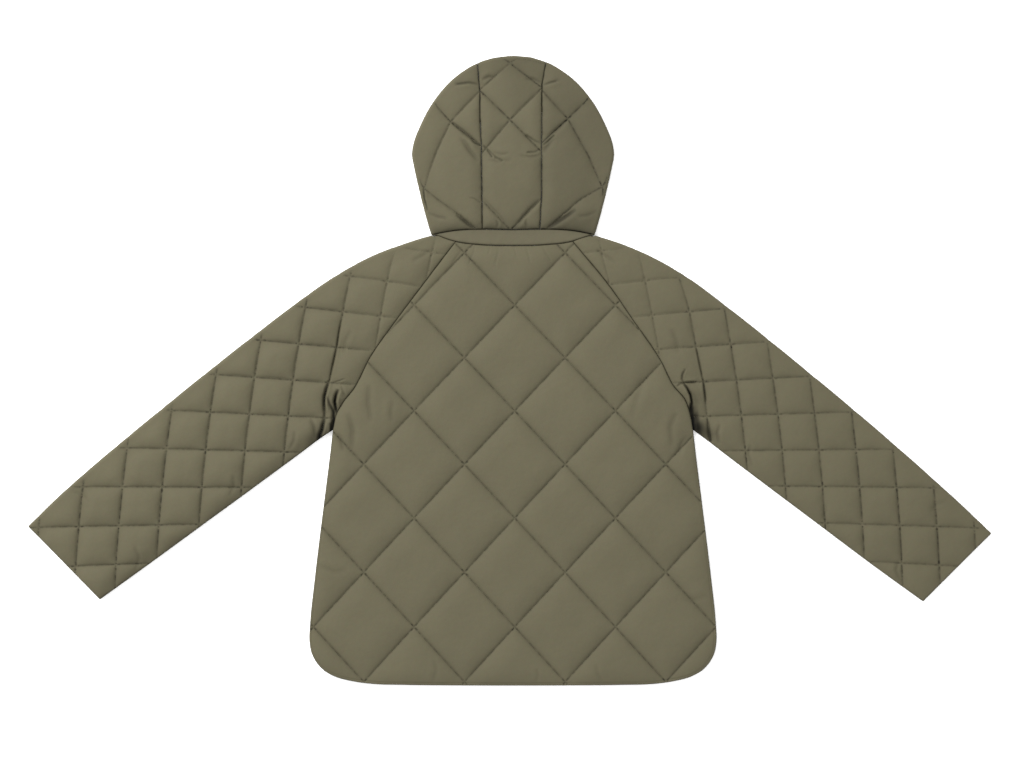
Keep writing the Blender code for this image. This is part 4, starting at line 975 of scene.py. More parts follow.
SLEEVE_RIGHT_CREASES = (
    (((250, -17), (256, -26), (261, -36), (263, -47), (262, -60)), 1.5, 5.4, -1, False),
    (((260.5, -46), (262, -58), (264, -70), (265.5, -89)), 2.5, 5.8, -1, True),
    (((268, -52), (270, -64), (272, -80), (274, -94)), 4.0, 2.0, 0, True),
    (((254, 3), (249, -6), (248.5, -13), (252, -19)), 1.5, 1.8, -1, False),
    (((252, -18), (261, -17.5), (271, -17)), 1.4, 2.4, 1, False),
    (((279.9, -12), (281, -25), (282.4, -36), (283.6, -47)), 1.3, 2.6, -1, False),
    (((286.5, -74), (288, -88), (290.5, -103)), 2.4, 2.6, -1, True),
    (((240, -24), (247, -19.5), (255, -18)), 1.4, 1.5, 1, False),
    (((268.9, 36), (274.5, 9), (279.9, -16.5)), 1.1, 1.6, -1, False),
    (((257, -30), (268, -40), (274, -52)), 3.0, 0.9, 1, False),
    (((304, -78), (300, -92), (303, -108)), 2.8, 1.3, 1, False),
    (((232, 62), (240, 45), (243, 26)), 3.6, 0.8, -1, False),
    (((352, -142), (346, -124), (349, -108)), 2.8, 1.0, 1, False),
    (((466, -233), (457, -215), (460, -198)), 3.0, 0.9, -1, False),
    (((571, -312), (563, -294), (568, -277)), 2.8, 0.9, 1, False),
    (((638, -190), (622, -197), (612, -210)), 3.6, 0.7, -1, False),
    (((122, 178), (137, 168), (152, 158)), 3.0, 0.9, 1, False),
    (((304, -92), (318, -64), (322, -34)), 3.4, 1.0, -1, False, -1),
    (((440, -180), (446, -140), (441, -112)), 4.0, 0.9, 1, False, -1),
    (((548, -262), (570, -238), (578, -206)), 3.6, 0.9, -1, False, -1),
)
HOOD_CENTRE_CREASES = (
    (((-46, 427), (-35, 432), (-27, 431)), 2.4, 1.4, 1, False),
    (((44, 421), (30, 428), (18, 429)), 2.2, 1.1, -1, False),
    (((-46, 334), (-38, 325), (-31, 314)), 1.4, 1.9, 1, True),
    (((-44, 330), (-34, 322), (-25, 313), (-16, 308)), 1.5, 1.5, -1, True),
    (((-29, 321), (-17, 317), (-5, 319)), 2.2, 0.8, 1, False),
    (((43, 333), (32, 337), (20, 345)), 1.6, 1.6, -1, True),
    (((42, 326), (33, 321), (22, 320)), 1.5, 1.5, 1, True),
    (((41, 316), (27, 313), (9, 316)), 2.4, 0.7, -1, False),
    (((-37, 309), (-20, 306), (-2, 309)), 2.8, 0.6, 1, False),
    (((41, 253), (28, 240), (15, 226), (2, 209)), 2.6, 1.6, 1, False),
    (((-44, 253), (-32, 240), (-20, 228), (-9, 213)), 2.4, 1.0, -1, False),
    (((-25, 222), (-22, 216), (-23, 209)), 1.8, 1.0, 1, False),
    (((20, 224), (19, 217), (22, 209)), 1.8, 1.0, -1, False),
)
HOOD_LEFT_CREASES = (
    (((-49, 420), (-64, 423), (-81, 421)), 2.0, 2.0, 1, True),
    (((-88, 363), (-70, 349), (-50, 333)), 2.8, 1.7, -1, False),
    (((-73, 340), (-63, 322), (-50, 307)), 3.6, 1.3, 1, False),
    (((-84, 230), (-67, 216), (-55, 208)), 2.6, 2.3, 1, False),
    (((-131.5, 270), (-131, 258), (-129, 245), (-127, 234)), 1.5, 2.6, 1, False),
    (((-125, 232), (-110, 226), (-95, 223)), 2.6, 1.2, -1, False),
    (((-64, 254), (-56, 252), (-48, 247)), 1.2, 1.0, 1, True),
    (((-92, 367), (-84, 360), (-70, 349)), 1.4, 1.8, -1, False),
    (((-78, 343), (-66, 326), (-52, 311)), 3.0, 1.0, 1, False),
    (((-62, 341), (-56, 335), (-48, 331)), 1.5, 2.4, -1, True),
    (((-110, 300), (-90, 310), (-74, 304)), 4.0, 0.9, 1, False, -1),
    (((-104, 380), (-84, 372), (-66, 376)), 4.0, 0.9, -1, False, -1),
)
HOOD_RIGHT_CREASES = (
    (((44, 419), (53, 422), (63, 425)), 1.8, 1.6, -1, True),
    (((43, 330), (50, 335), (60, 345)), 1.5, 1.8, 1, True),
    (((60, 342), (52, 331), (44, 320)), 3.0, 1.4, -1, False),
    (((84, 372), (68, 357), (50, 341)), 2.6, 1.2, 1, False),
    (((93, 237), (76, 225), (62, 216), (50, 209)), 3.0, 2.3, 1, False),
    (((124, 236), (110, 228), (96, 227)), 2.6, 1.1, 1, False),
    (((112, 306), (92, 314), (76, 309)), 4.0, 0.9, -1, False, -1),
    (((100, 384), (82, 374), (66, 379)), 4.0, 0.9, 1, False, -1),
)
FRONT_CREASES = (    # half width, y: both fronts, seen from below
    (((236, -64), (222, -96), (224, -130)), 4.0, 0.9, 1, False, -1),
    (((206, -20), (188, -52), (184, -86)), 4.4, 0.8, -1, False, -1),
    (((286, -240), (258, -252), (236, -246)), 4.4, 0.7, 1, False, -1),
    (((120, 84), (104, 62), (96, 38)), 4.0, 0.7, -1, False, -1),
    (((272, -400), (246, -392), (226, -398)), 4.0, 0.7, 1, False, -1),
    (((60, -456), (64, -436), (60, -418)), 3.4, 0.6, 1, False, -1),
)

# %% [markdown]
# ## Where little light gets in
# Some places get painted shade however the cloth is lit: the pocket under each arm,
# where the sleeve dives below the body, and the hood's foot, which rolls under on
# to the band. The hood's right panel and the top of its crown get a broad painted
# shade for the hood's round form. Each row is x, y, half width, half height and how
# much of the light is lost in the middle.

# %% Hollows: places of painted shade
SLEEVE_LEFT_HOLLOWS = (
    (-264.0, -80.0, 5.2, 13.0, 0.80), (-280.0, -84.0, 2.8, 8.0, 0.60),
    (-284.0, -96.0, 5.0, 9.0, 0.60), (-262.0, -58.0, 2.6, 7.0, 0.5),
    (-290.0, -104.0, 13.0, 12.0, 0.35),
)
SLEEVE_RIGHT_HOLLOWS = (
    (261.5, -57.0, 5.0, 8.0, 0.90), (264.5, -69.0, 8.0, 8.5, 0.85),
    (269.0, -83.0, 13.5, 10.0, 0.85), (279.0, -93.0, 15.0, 9.0, 0.50),
    (266.0, -42.0, 12.0, 14.0, 0.16),
)
HOOD_RIGHT_HOLLOWS = ((104.0, 345.0, 96.0, 190.0, 0.165), (96.0, 222.0, 40.0, 16.0, 0.12))
HOOD_CENTRE_HOLLOWS = ((22.0, 470.0, 62.0, 62.0, 0.17), (0.0, 330.0, 90.0, 170.0, 0.04))
HOOD_LEFT_HOLLOWS = ((-52.0, 470.0, 40.0, 60.0, 0.10),)
HOOD_FOOT = (0.5, 8.0)        # share lost at the band, and how far it reaches up
# Painted shade along the left sleeve's underside edge: share lost, and its reach.
UNDERSLEEVE_TUCK = (0.26, 15.0)


# %% [markdown]
# ## Woven nylon
# The shell is nylon taffeta, a plain weave of fine filament yarn that is dyed
# olive and left uncoated. The eye reads it as matt and takes the quilt's form from
# light and shade alone, so it is rough and has very little specular light. The
# yarns lie 0.3 mm apart, too fine to show here, so the weave is drawn at 0.9 mm and
# kept very shallow. A second, softer bump gives the small crumple of thin cloth
# over wadding. The dye is a few hundredths uneven, and a near black is mixed in as
# painted shade where the "shade" layer marks it.

# %% Colour and node helpers
def tone(hex_code, alpha=1.0):
    """An sRGB hex colour as linear values."""
    channels = [int(hex_code[k:k + 2], 16) / 255.0 for k in (1, 3, 5)]
    line = [c / 12.92 if c <= 0.04045 else ((c + 0.055) / 1.055) ** 2.4 for c in channels]
    return (*line, alpha)


def add(tree, kind, inputs=None, **settings):
    """Add a node, set its properties, and set or link its inputs."""
    node = tree.nodes.new(kind)
    for name, value in settings.items():
        setattr(node, name, value)
    for name, value in (inputs or {}).items():
        if isinstance(value, bpy.types.NodeSocket):
            tree.links.new(value, node.inputs[name])
        else:
            node.inputs[name].default_value = value
    return node


def empty_material(name):
    """A material with no nodes yet, its tree, and the object's own coordinates."""
    material = bpy.data.materials.new(name)
    material.use_nodes = True
    tree = material.node_tree
    tree.nodes.clear()
    return material, tree, add(tree, "ShaderNodeTexCoord").outputs["Object"]


def mixed(tree, factor, first, second, **settings):
    """The colour output of a Mix node. Its colour sockets have to go by number."""
    node = add(tree, "ShaderNodeMix", {"Factor": factor}, data_type="RGBA", **settings)
    for number, value in ((6, first), (7, second)):
        if isinstance(value, bpy.types.NodeSocket):
            tree.links.new(value, node.inputs[number])
        else:
            node.inputs[number].default_value = value
    return node.outputs[2]


def noise(tree, spot, size_mm, **inputs):
    """A Noise Texture whose patches are about as large as given."""
    return add(tree, "ShaderNodeTexNoise",
               {"Vector": spot, "Scale": 1.0 / (size_mm * MM), **inputs})


def bump(tree, height, strength, depth_mm, **inputs):
    """A Bump node's normal, for a relief of a depth in millimetres."""
    return add(tree, "ShaderNodeBump", {"Height": height, "Strength": strength,
                                        "Distance": depth_mm * MM, **inputs}).outputs["Normal"]


def surface(tree, **inputs):
    """The Principled shader and the material's output."""
    named = {name.replace("_", " "): value for name, value in inputs.items()}
    shader = add(tree, "ShaderNodeBsdfPrincipled", named)
    add(tree, "ShaderNodeOutputMaterial", {"Surface": shader.outputs["BSDF"]})


def wave_scale(period_mm):
    """Wave Texture's scale for a stripe period in millimetres."""
    return 2.0 * math.pi / (20.0 * period_mm * MM)


# %% The nylon finishes
WEAVE_MM = 0.9       # real yarns: 0.3 mm apart


def woven_nylon(name, colour, dark, roughness):
    """Plain woven nylon, olive as dyed, with a near black painted as shade into grooves and folds.
    """
    material, tree, spot = empty_material(name)
    dye = noise(tree, spot, 60.0, Detail=3.0).outputs["Fac"]
    slub = noise(tree, spot, 5.0, Detail=2.0).outputs["Color"]
    pale, deep = ([c * k for c in tone(colour)[:3]] + [1.0] for k in (1.07, 0.93))
    dyed = mixed(tree, dye, deep, pale)
    worn = mixed(tree, 0.10, dyed, slub, blend_type="MULTIPLY")
    shade = add(tree, "ShaderNodeAttribute", attribute_name="shade").outputs["Fac"]
    warp, weft = (add(tree, "ShaderNodeTexWave", {"Vector": spot, "Scale": wave_scale(WEAVE_MM)},
                      bands_direction=way).outputs["Fac"] for way in ("X", "Y"))
    yarns = add(tree, "ShaderNodeMath", {0: warp, 1: weft}, operation="MULTIPLY").outputs[0]
    crumple = noise(tree, spot, 13.0, Detail=3.0, Roughness=0.55).outputs["Fac"]
    soft = bump(tree, crumple, 0.5, 1.1)
    # The "shade" layer mixes in the near black: painted shade.
    surface(tree, Base_Color=mixed(tree, shade, worn, tone(dark)), Roughness=roughness,
            IOR=1.53, Specular_IOR_Level=0.06, Normal=bump(tree, yarns, 0.25, 0.10, Normal=soft))
    return material


# 010101 is the near black of the painted shade.
shell_nylon = woven_nylon("woven_nylon_olive", "#555140", "#010101", 0.66)
sleeve_nylon = woven_nylon("woven_nylon_sleeve", "#555140", "#010101", 0.66)
band_nylon = woven_nylon("woven_nylon_band", "#545040", "#010101", 0.64)
print("nylon finishes:", [m.name for m in (shell_nylon, sleeve_nylon, band_nylon)])

# %% [markdown]
# ## Thread and studs
# Core-spun polyester thread is duller than filament nylon and a shade darker. The
# press studs are stamped brass with a dark gunmetal finish: a metal under a thin
# coating, so the eye gets a soft, dim highlight with small scratches.

# %% Thread and gunmetal
def spun_thread():
    """Matt spun thread, with fuzz in its tone and a faint twist."""
    material, tree, spot = empty_material("spun_polyester_thread")
    fuzz = noise(tree, spot, 1.5, Detail=2.0).outputs["Fac"]
    surface(tree, Base_Color=mixed(tree, fuzz, tone("#4A4735"), tone("#5F5B47")),
            Roughness=0.78, IOR=1.54, Normal=bump(tree, fuzz, 0.4, 0.08))
    return material


def gunmetal():
    """A dark coating on metal, rubbed a little paler and smoother in places."""
    material, tree, spot = empty_material("gunmetal_plated_brass")
    rub = noise(tree, spot, 2.0, Detail=5.0).outputs["Fac"]
    dull = add(tree, "ShaderNodeMapRange", {"Value": rub, "To Min": 0.32, "To Max": 0.5})
    surface(tree, Base_Color=mixed(tree, rub, tone("#3A3834"), tone("#5A574F")), Metallic=0.85,
            Roughness=dull.outputs[0], Normal=bump(tree, rub, 0.2, 0.05))
    return material


thread_finish = spun_thread()
stud_finish = gunmetal()

# %% [markdown]
# ## Cutting out the panels
# Each piece gets its chart, its outline in flat coordinates, its stitch lines and
# its creases. Two pieces that meet use the same seam curve, so no gap can open.

# %% Body panels
def body_outline(raglan_left, raglan_right, neck):
    """Round the back: sides and hem, then up each raglan seam to the neck."""
    hem_left = soft_curve(mirrored(BODY_EDGE), FINE)
    hem_right = soft_curve(BODY_EDGE, FINE)[::-1]
    return joined(hem_left, hem_right, raglan_right, neck[::-1], raglan_left[::-1])


def hem_roll(outline, hand=0):
    """The free edge is turned in and rolls a little: a shallow trough just inside it."""
    ring = inset(outline if signed_area(outline) > 0 else outline[::-1], 3.6)
    keep = ring[:, 1] < -96.0
    keep &= (hand * ring[:, 0] > -16.0) if hand else True
    start = int(np.argmax(keep & ~np.roll(keep, 1)))
    return [tuple(p) for p in np.roll(ring, -start, axis=0)[: int(keep.sum())]]


def back_panel():
    """One flat piece, lofted to the middle of its diamonds."""
    nape = part_between(neck_back, back_seam[-1][-1, 0], back_seam[1][-1, 0])
    outline = body_outline(back_seam[-1], back_seam[1], nape)
    roll = (hem_roll(outline), 1.0, 0.7, 0, False)
    return Panel("back_panel", FlatLayer(1), outline, diamond_lines(), BACK_CREASES + (roll,),
                 BODY_LOFT, 31.0, 101, gather=(0.30, 7.0, 5.5), edge_span=26.0,
                 edge_drop=lambda where: 0.75 * np.ones(len(where)))


def front_panel(hand, name):
    """Half of the back's outline with a lower neck and its share of the placket."""
    whole_neck = np.vstack([neck_front, mirrored(neck_front[:-1][::-1])])
    side = soft_curve(mirrored(BODY_EDGE), FINE)
    hem = np.vstack([side, mirrored(side[:-1][::-1])])
    inner = -hand * PLACKET_HALF
    neck = part_between(whole_neck, *sorted((hand * 95.0, inner)))
    points = hem if hand < 0 else np.array(mirrored(hem))
    points = np.array([p for p in points if hand * p[0] > -PLACKET_HALF + 2.0])
    foot = np.array([[inner, np.interp(PLACKET_HALF, (0.0, 80.0), (-463.3, -463.1))]])
    across = neck if hand < 0 else neck[::-1]
    outline = joined(points, foot, across[::-1], front_seam[hand][::-1])
    edge = hand * (PLACKET_HALF + PLACKET_RAMP)
    lines = []
    for line in diamond_lines():
        fine = even(line, 2.0)
        keep = fine[hand * (fine[:, 0] - edge) > 0.0]
        if len(keep) > 4:
            lines.append(keep)
    # The facing is stitched down just beyond the overlap, and ends the quilting.
    lines.append([(edge, 140.0), (edge, -470.0)])
    creases = [(tuple((hand * x, y) for x, y in c[0]), *c[1:]) for c in FRONT_CREASES]
    creases.append((hem_roll(outline, hand), 1.0, 0.5, 0, False))
    studs = [((0.0, STUD_TOP_Y - STUD_PITCH * k), 9.0, 3.2 if hand > 0 else 0.0)
             for k in range(STUD_COUNT)]
    return Panel(name, FrontLayer(hand), outline, lines, creases, UNDER_WALL, 20.0,
                 202 + hand, dents=studs)


# %% Sleeves
FOLD_SWING = 45.0        # the fold's direction swings over this distance at an end


def calm_shoulder(where):
    """The quilting is drawn tight over the shoulder, so its lines are faint there."""
    return 0.28 + 0.72 * smooth((np.abs(where[:, 0]) - 180.0) / 120.0)


def flat_cuff(where):
    """The cuff's edge is turned in and pressed, so the pillows sink less at it."""
    return 1.0 - 0.55 * smooth((np.abs(where[:, 0]) - 560.0) / 60.0)


def sleeve_chart(hand, overarm, undersleeve):
    """The chart round the overarm fold, with its stations at the cuff and the neck."""
    curve = soft_curve(overarm, 9.0)
    first = curve[0] - (curve[1] - curve[0]) * 9.0
    way = (curve[-1] - curve[-2]) / np.linalg.norm(curve[-1] - curve[-2])
    last = curve[-1] + way * np.array([[20.0], [40.0], [60.0], [80.0]])
    curve = np.vstack([first[None], curve, last])
    run = along(curve)
    ray = facing(curve, hand)
    cuff_at, neck_at = run[1], run[-5]
    # The fold turns with the cuff's own line at one end, and into the neck at the other.
    cuff = np.array(undersleeve[0]) - np.array(overarm[0])
    lead = eased(ray, run, neck_at, (-hand * 0.93, -0.37), FOLD_SWING)
    lead = eased(lead, run, cuff_at, cuff / np.linalg.norm(cuff), FOLD_SWING)

    def spread(base, fine):
        return np.column_stack([np.interp(fine, run, ray[:, k]) for k in range(2)])

    return FoldedLayers(curve, lead, spread), cuff_at, neck_at


def sleeve_panel(name, hand, overarm, undersleeve, squares, pulled, creases, hollows, seed):
    """The overarm is the fold, and the undersleeve is the seam."""
    chart, cuff_at, neck_at = sleeve_chart(hand, overarm, undersleeve)
    low = soft_curve(undersleeve, FINE)
    neck_top = (part_between(neck_back, -117.0, back_seam[-1][-1, 0])[::-1] if hand < 0
                else part_between(neck_back, back_seam[1][-1, 0], 117.0))
    neck_low = low_neck if hand < 0 else np.array(mirrored(low_neck))
    corner = np.array(overarm[0], float)
    cuff_line = corner + (low[0] - corner) * np.linspace(0.08, 1.0, 50)[:, None]
    outline = joined(
        chart.bend(cuff_at, -1.0, 1.0),
        *(chart.flat(run, 1) for run in (cuff_line, low[1:], back_seam[hand][1:], neck_top[1:-1])),
        chart.bend(neck_at, 1.0, -1.0),
        *(chart.flat(run, -1) for run in (neck_low[1:], front_seam[hand][::-1][1:],
                                          low[::-1][1:], cuff_line[::-1][1:])),
    )
    lines, kept = carried_over(chart, square_lines(squares, pulled), 420.0)
    weights = [1.0 if k < COLUMNS else ROW_WEIGHT[hand] for k in kept]
    tucks = ((low[:-8], *UNDERSLEEVE_TUCK),) if hand < 0 else ()
    return Panel(name, chart, outline, lines, creases, SLEEVE_LOFT[hand], 25.0, seed,
                 gather=(0.50, 6.0, 5.0), groove=0.72, weights=weights, calm=calm_shoulder,
                 edge_drop=flat_cuff, hollows=hollows, tucks=tucks)


# %% Hood
def crown_height(x):
    """Height of the hood's outline over x, along the crown."""
    edge = np.array(HOOD_EDGE[7:])
    return float(np.interp(abs(x), edge[::-1, 0], edge[::-1, 1]))


HOOD_SEWING = dict(gather=(0.5, 7.0, 6.0), edge_span=20.0, edge_round=2.4, groove=0.7,
                   seam_dark=0.95, seam_wide=0.95, seam_pull=0.8)


def hood_side(name, hand, seam, lines, weights, creases, hollows, seed):
    """Folded round the hood's outline, from the gusset seam to the face edge."""
    edge = soft_curve([(hand * x, y) for x, y in HOOD_EDGE], 8.0)
    guide = np.array([(hand * x, y) for x, y in HOOD_GUIDE])
    top_x = seam[-1][0]
    keep = edge[hand * edge[:, 0] > hand * top_x + 3.0]
    crown = np.array([[top_x, crown_height(top_x)]])
    beyond = np.array([[top_x * 0.5, crown_height(top_x * 0.5) - 1.0]])
    curve = np.vstack([guide, keep, crown, beyond])
    run = along(curve)
    neck_at, crown_at = run[len(guide)], run[-2]
    pole = np.array([-hand * HOOD_POLE[0], HOOD_POLE[1]])
    lead = facing(curve, hand)
    lead = eased(lead, run, neck_at, (-hand * 1.0, 0.08), 60.0)
    lead = eased(lead, run, crown_at, (0.0, -1.0), 60.0)
    chart = FoldedLayers(curve, lead, lambda base, fine: pole[None] - base)
    top_seam = kept_corners(seam, FINE)
    under_seam = kept_corners([(top_x, seam[-1][1]), (hand * FACE_EDGE[0][0], TUCK_Y)], FINE)
    face = soft_curve([(hand * x, y) for x, y in FACE_EDGE], FINE)[:-1]
    low_band = part_between(band_front, -112.0, -FACE_EDGE[-1][0])
    low_band[0] = (-BAND_TIP[0] + 0.8, BAND_TIP[2] + 0.8)
    low_band = low_band * np.array([-hand, 1.0])
    top_band = part_between(band_back, *sorted((hand * 115.0, seam[0][0])))
    top_band = top_band if hand < 0 else top_band[::-1]
    outline = joined(
        chart.bend(neck_at, -1.0, 1.0),
        chart.flat(top_band, 1),
        chart.flat(top_seam[1:], 1),
        chart.bend(crown_at, 1.0, -1.0),
        chart.flat(under_seam, -1),
        chart.flat(face[1:], -1),
        chart.flat(low_band[::-1], -1),
    )
    flat_lines = [chart.flat(kept_corners(line, 6.0), 1) for line in lines]
    under = [[(hand * x, y) for x, y in line] for line in SIDE_LINES_UNDER]
    flat_lines += [chart.flat(kept_corners(line, 6.0), -1) for line in under]
    return Panel(name, chart, outline, flat_lines, creases, HOOD_LOFT, 40.0, seed,
                 weights=list(weights) + [1.0] * len(under), hollows=hollows,
                 tucks=((top_band, *HOOD_FOOT),), **HOOD_SEWING)


def hood_gusset():
    """The strip over the crown, with a short end folded under."""
    xs = np.linspace(-70.0, 66.0, 18)
    curve = np.array([(x, crown_height(x)) for x in xs])
    down = np.tile([0.0, -1.0], (len(xs), 1))
    chart = FoldedLayers(curve, down, lambda base, fine: np.tile([0.0, -1.0], (len(fine), 1)))
    left, right = HOOD_SEAM_LEFT, HOOD_SEAM_RIGHT
    station = along(curve)
    u_left, u_right = (float(np.interp(s[-1][0], xs, station)) for s in (left, right))
    foot = part_between(band_back, left[0][0], right[0][0])
    tuck = [(-FACE_EDGE[0][0], TUCK_Y), (0.0, TUCK_Y - 3.0), (FACE_EDGE[0][0], TUCK_Y)]
    outline = joined(
        chart.flat(foot, 1),
        chart.flat(kept_corners(right, FINE)[1:], 1),
        chart.bend(u_right, 1.0, -1.0),
        chart.flat(kept_corners([right[-1], tuck[2]], FINE), -1),
        chart.flat(kept_corners(tuck[::-1], FINE)[1:], -1),
        chart.flat(kept_corners([tuck[0], left[-1]], FINE)[1:], -1),
        chart.bend(u_left, -1.0, 1.0),
        chart.flat(kept_corners(left, FINE)[::-1][:-1], 1),
    )
    lines = [list(chart.flat(kept_corners(line, 6.0), 1)) for line in GUSSET_LINES]
    for line in lines[4:]:
        tip, way = line[-1], line[-1] - line[-2]
        line.append(tip + way / np.hypot(*way) * 110.0)
    return Panel("hood_centre_panel", chart, outline, lines, HOOD_CENTRE_CREASES, HOOD_LOFT, 40.0,
                 707, weights=GUSSET_WEIGHTS, hollows=HOOD_CENTRE_HOLLOWS,
                 tucks=((foot, *HOOD_FOOT),), **HOOD_SEWING)


# %% [markdown]
# ## Thread
# Lockstitch shows as short dashes that sink at both ends, about eight to the inch.
# Each dash is a slim six-point grain laid along the line, so it stays light in
# triangles while there are thousands of them.

# %% Stitches of a panel
STITCH_PITCH, STITCH_LONG, THREAD_R = 3.2, 2.4, 0.24


def stitched(panel, name):
    """One piece of thread for all the stitches on a panel's lines."""
    starts, middles, ends = [], [], []
    for run in panel.lines:
        total = along(run)[-1]
        at = np.arange(STITCH_PITCH, total - STITCH_PITCH, STITCH_PITCH)
        for bag, shift in ((starts, -0.5), (middles, 0.0), (ends, 0.5)):
            bag.append(np.column_stack([np.interp(at + shift * STITCH_LONG, along(run), run[:, k])
                                        for k in range(2)]))
    starts, middles, ends = (np.vstack(bag) for bag in (starts, middles, ends))
    wall = panel.wall(middles)[0]
    mid = panel.chart.place(middles, wall + 0.10)
    tips = [panel.chart.place(flat, np.maximum(wall - 0.12, 0.3)) for flat in (starts, ends)]
    out = panel.chart.place(middles, wall + 1.0) - mid
    out /= np.linalg.norm(out, axis=1)[:, None]
    way = tips[1] - tips[0]
    across = np.cross(way, out)
    across /= np.maximum(np.linalg.norm(across, axis=1), 1e-9)[:, None]
    floor = MID - SLIT - UNDER_WALL
    ring = [mid + THREAD_R * way for way in (across, out, -across, -out)]
    points = np.stack([tips[0], *ring, tips[1]], axis=1)
    points[:, :, 2] = np.maximum(points[:, :, 2], floor)
    base = 6 * np.arange(len(mid))[:, None, None]
    grain = np.array([(0, 1, 2), (0, 2, 3), (0, 3, 4), (0, 4, 1),
                      (5, 2, 1), (5, 3, 2), (5, 4, 3), (5, 1, 4)])[None]
    faces = (base + grain).reshape(-1, 3).tolist()
    obj = solid_mesh(name, points.reshape(-1, 3), faces, thread_finish)
    print(name, "stitches", len(mid))
    return obj


# %% [markdown]
# ## Sewing it together
# Every panel is made, given to the frame's fixed body and set to stand for its CAD
# solid, which is hidden. The size that it was cut to is printed.

# %% Fixing a piece to the frame
def declare(obj, node, flat, area, extras=()):
    """Fix a piece to the frame, let it stand for its solid, and state its cut."""
    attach(obj, "root")
    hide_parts(node)
    for extra in extras:
        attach(extra, "root")
        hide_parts(node)
    print(obj.name, "cut", [round(v, 3) for v in flat], "area", round(area, 4), "m2")


def finish_panel(panel, node, finish, slot, rests_on, fine=4.6, coarse=8.5):
    obj, area = sew_panel(panel, finish, fine, coarse)
    extra = stitched(panel, "thread_" + node)
    size = panel.poly.max(axis=0) - panel.poly.min(axis=0)
    declare(obj, node, (float(size[0]) * MM, float(size[1]) * MM), area, (extra,))
    return obj


# %% Make the body
SIDES = ("left", "right")
SHELL = (shell_nylon, "olive_nylon")
finish_panel(back_panel(), "back", *SHELL, ["front_" + side for side in SIDES])
for hand, side in zip((-1, 1), SIDES):
    node = "front_" + side
    finish_panel(front_panel(hand, node + "_panel"), node, *SHELL, [], fine=8.0, coarse=8.0)

# %% Make the sleeves and the hood
SLEEVES = (
    (-1, OVERARM_LEFT, UNDERSLEEVE_LEFT, SQUARE_LEFT, PULLED_LEFT,
     SLEEVE_LEFT_CREASES, SLEEVE_LEFT_HOLLOWS, 303),
    (1, OVERARM_RIGHT, UNDERSLEEVE_RIGHT, SQUARE_RIGHT, PULLED_RIGHT,
     SLEEVE_RIGHT_CREASES, SLEEVE_RIGHT_HOLLOWS, 404),
)
HOOD_SIDES = (
    (-1, HOOD_SEAM_LEFT, SIDE_LINES_LEFT, SIDE_WEIGHTS_LEFT,
     HOOD_LEFT_CREASES, HOOD_LEFT_HOLLOWS, 505),
    (1, HOOD_SEAM_RIGHT, SIDE_LINES_RIGHT, SIDE_WEIGHTS_RIGHT,
     HOOD_RIGHT_CREASES, HOOD_RIGHT_HOLLOWS, 606),
)
for side, pattern in zip(SIDES, SLEEVES):
    node = "sleeve_" + side
    finish_panel(sleeve_panel(node + "_panel", *pattern), node,
                 sleeve_nylon, "olive_nylon_sleeve", [])
for side, pattern in zip(SIDES, HOOD_SIDES):
    node = "hood_" + side
    finish_panel(hood_side(node + "_panel", *pattern), node, *SHELL, [], fine=4.0)
finish_panel(hood_gusset(), "hood_centre", *SHELL, ["hood_" + side for side in SIDES], fine=4.0)

# %% [markdown]
# ## The collar band
# The band is a plain folded strip between the neck and the hood, so it has no
# quilting. It is made as sections along the neck that turn over from the back
# layer to the front layer at each side. Small pulls in its height come from the
# gathered cloth on both its seams.

# %% Collar band
BAND_SHARES = (0.0, 0.04, 0.10, 0.2, 0.35, 0.5, 0.65, 0.8, 0.9, 0.96, 1.0)   # up the band
# The band's painted shade is blackest in a pocket at each end.
BAND_POCKET = 113.5      # the dark pocket at each end lies this far out


def by_count(points, count):
    """A run as a given number of evenly spaced points."""
    run = along(points)
    where = np.linspace(0.0, run[-1], count)
    return np.column_stack([np.interp(where, run, points[:, k]) for k in range(2)])


def band_stations():
    """Lower point, upper point and turn of each section, front to back to front."""
    low_f, high_f = by_count(neck_front, 60), by_count(band_front, 60)
    low_f[-1, 0] = high_f[-1, 0] = -BAND_END
    low_b, high_b = by_count(neck_back, 110), by_count(band_back, 110)
    tip_low, tip_high = (np.array([-BAND_TIP[0], y]) for y in BAND_TIP[1:])
    flip = np.array([-1.0, 1.0])
    turns = np.linspace(-90.0, 90.0, 13)
    stations = [(a, b, -90.0) for a, b in zip(low_f[:2:-1], high_f[:2:-1])]
    stations += [(tip_low, tip_high, t) for t in turns]
    stations += [(a, b, 90.0) for a, b in zip(low_b[3:-3], high_b[3:-3])]
    stations += [(tip_low * flip, tip_high * flip, t) for t in turns[::-1]]
    return stations + [(a * flip, b * flip, -90.0) for a, b in zip(low_f[3:], high_f[3:])]


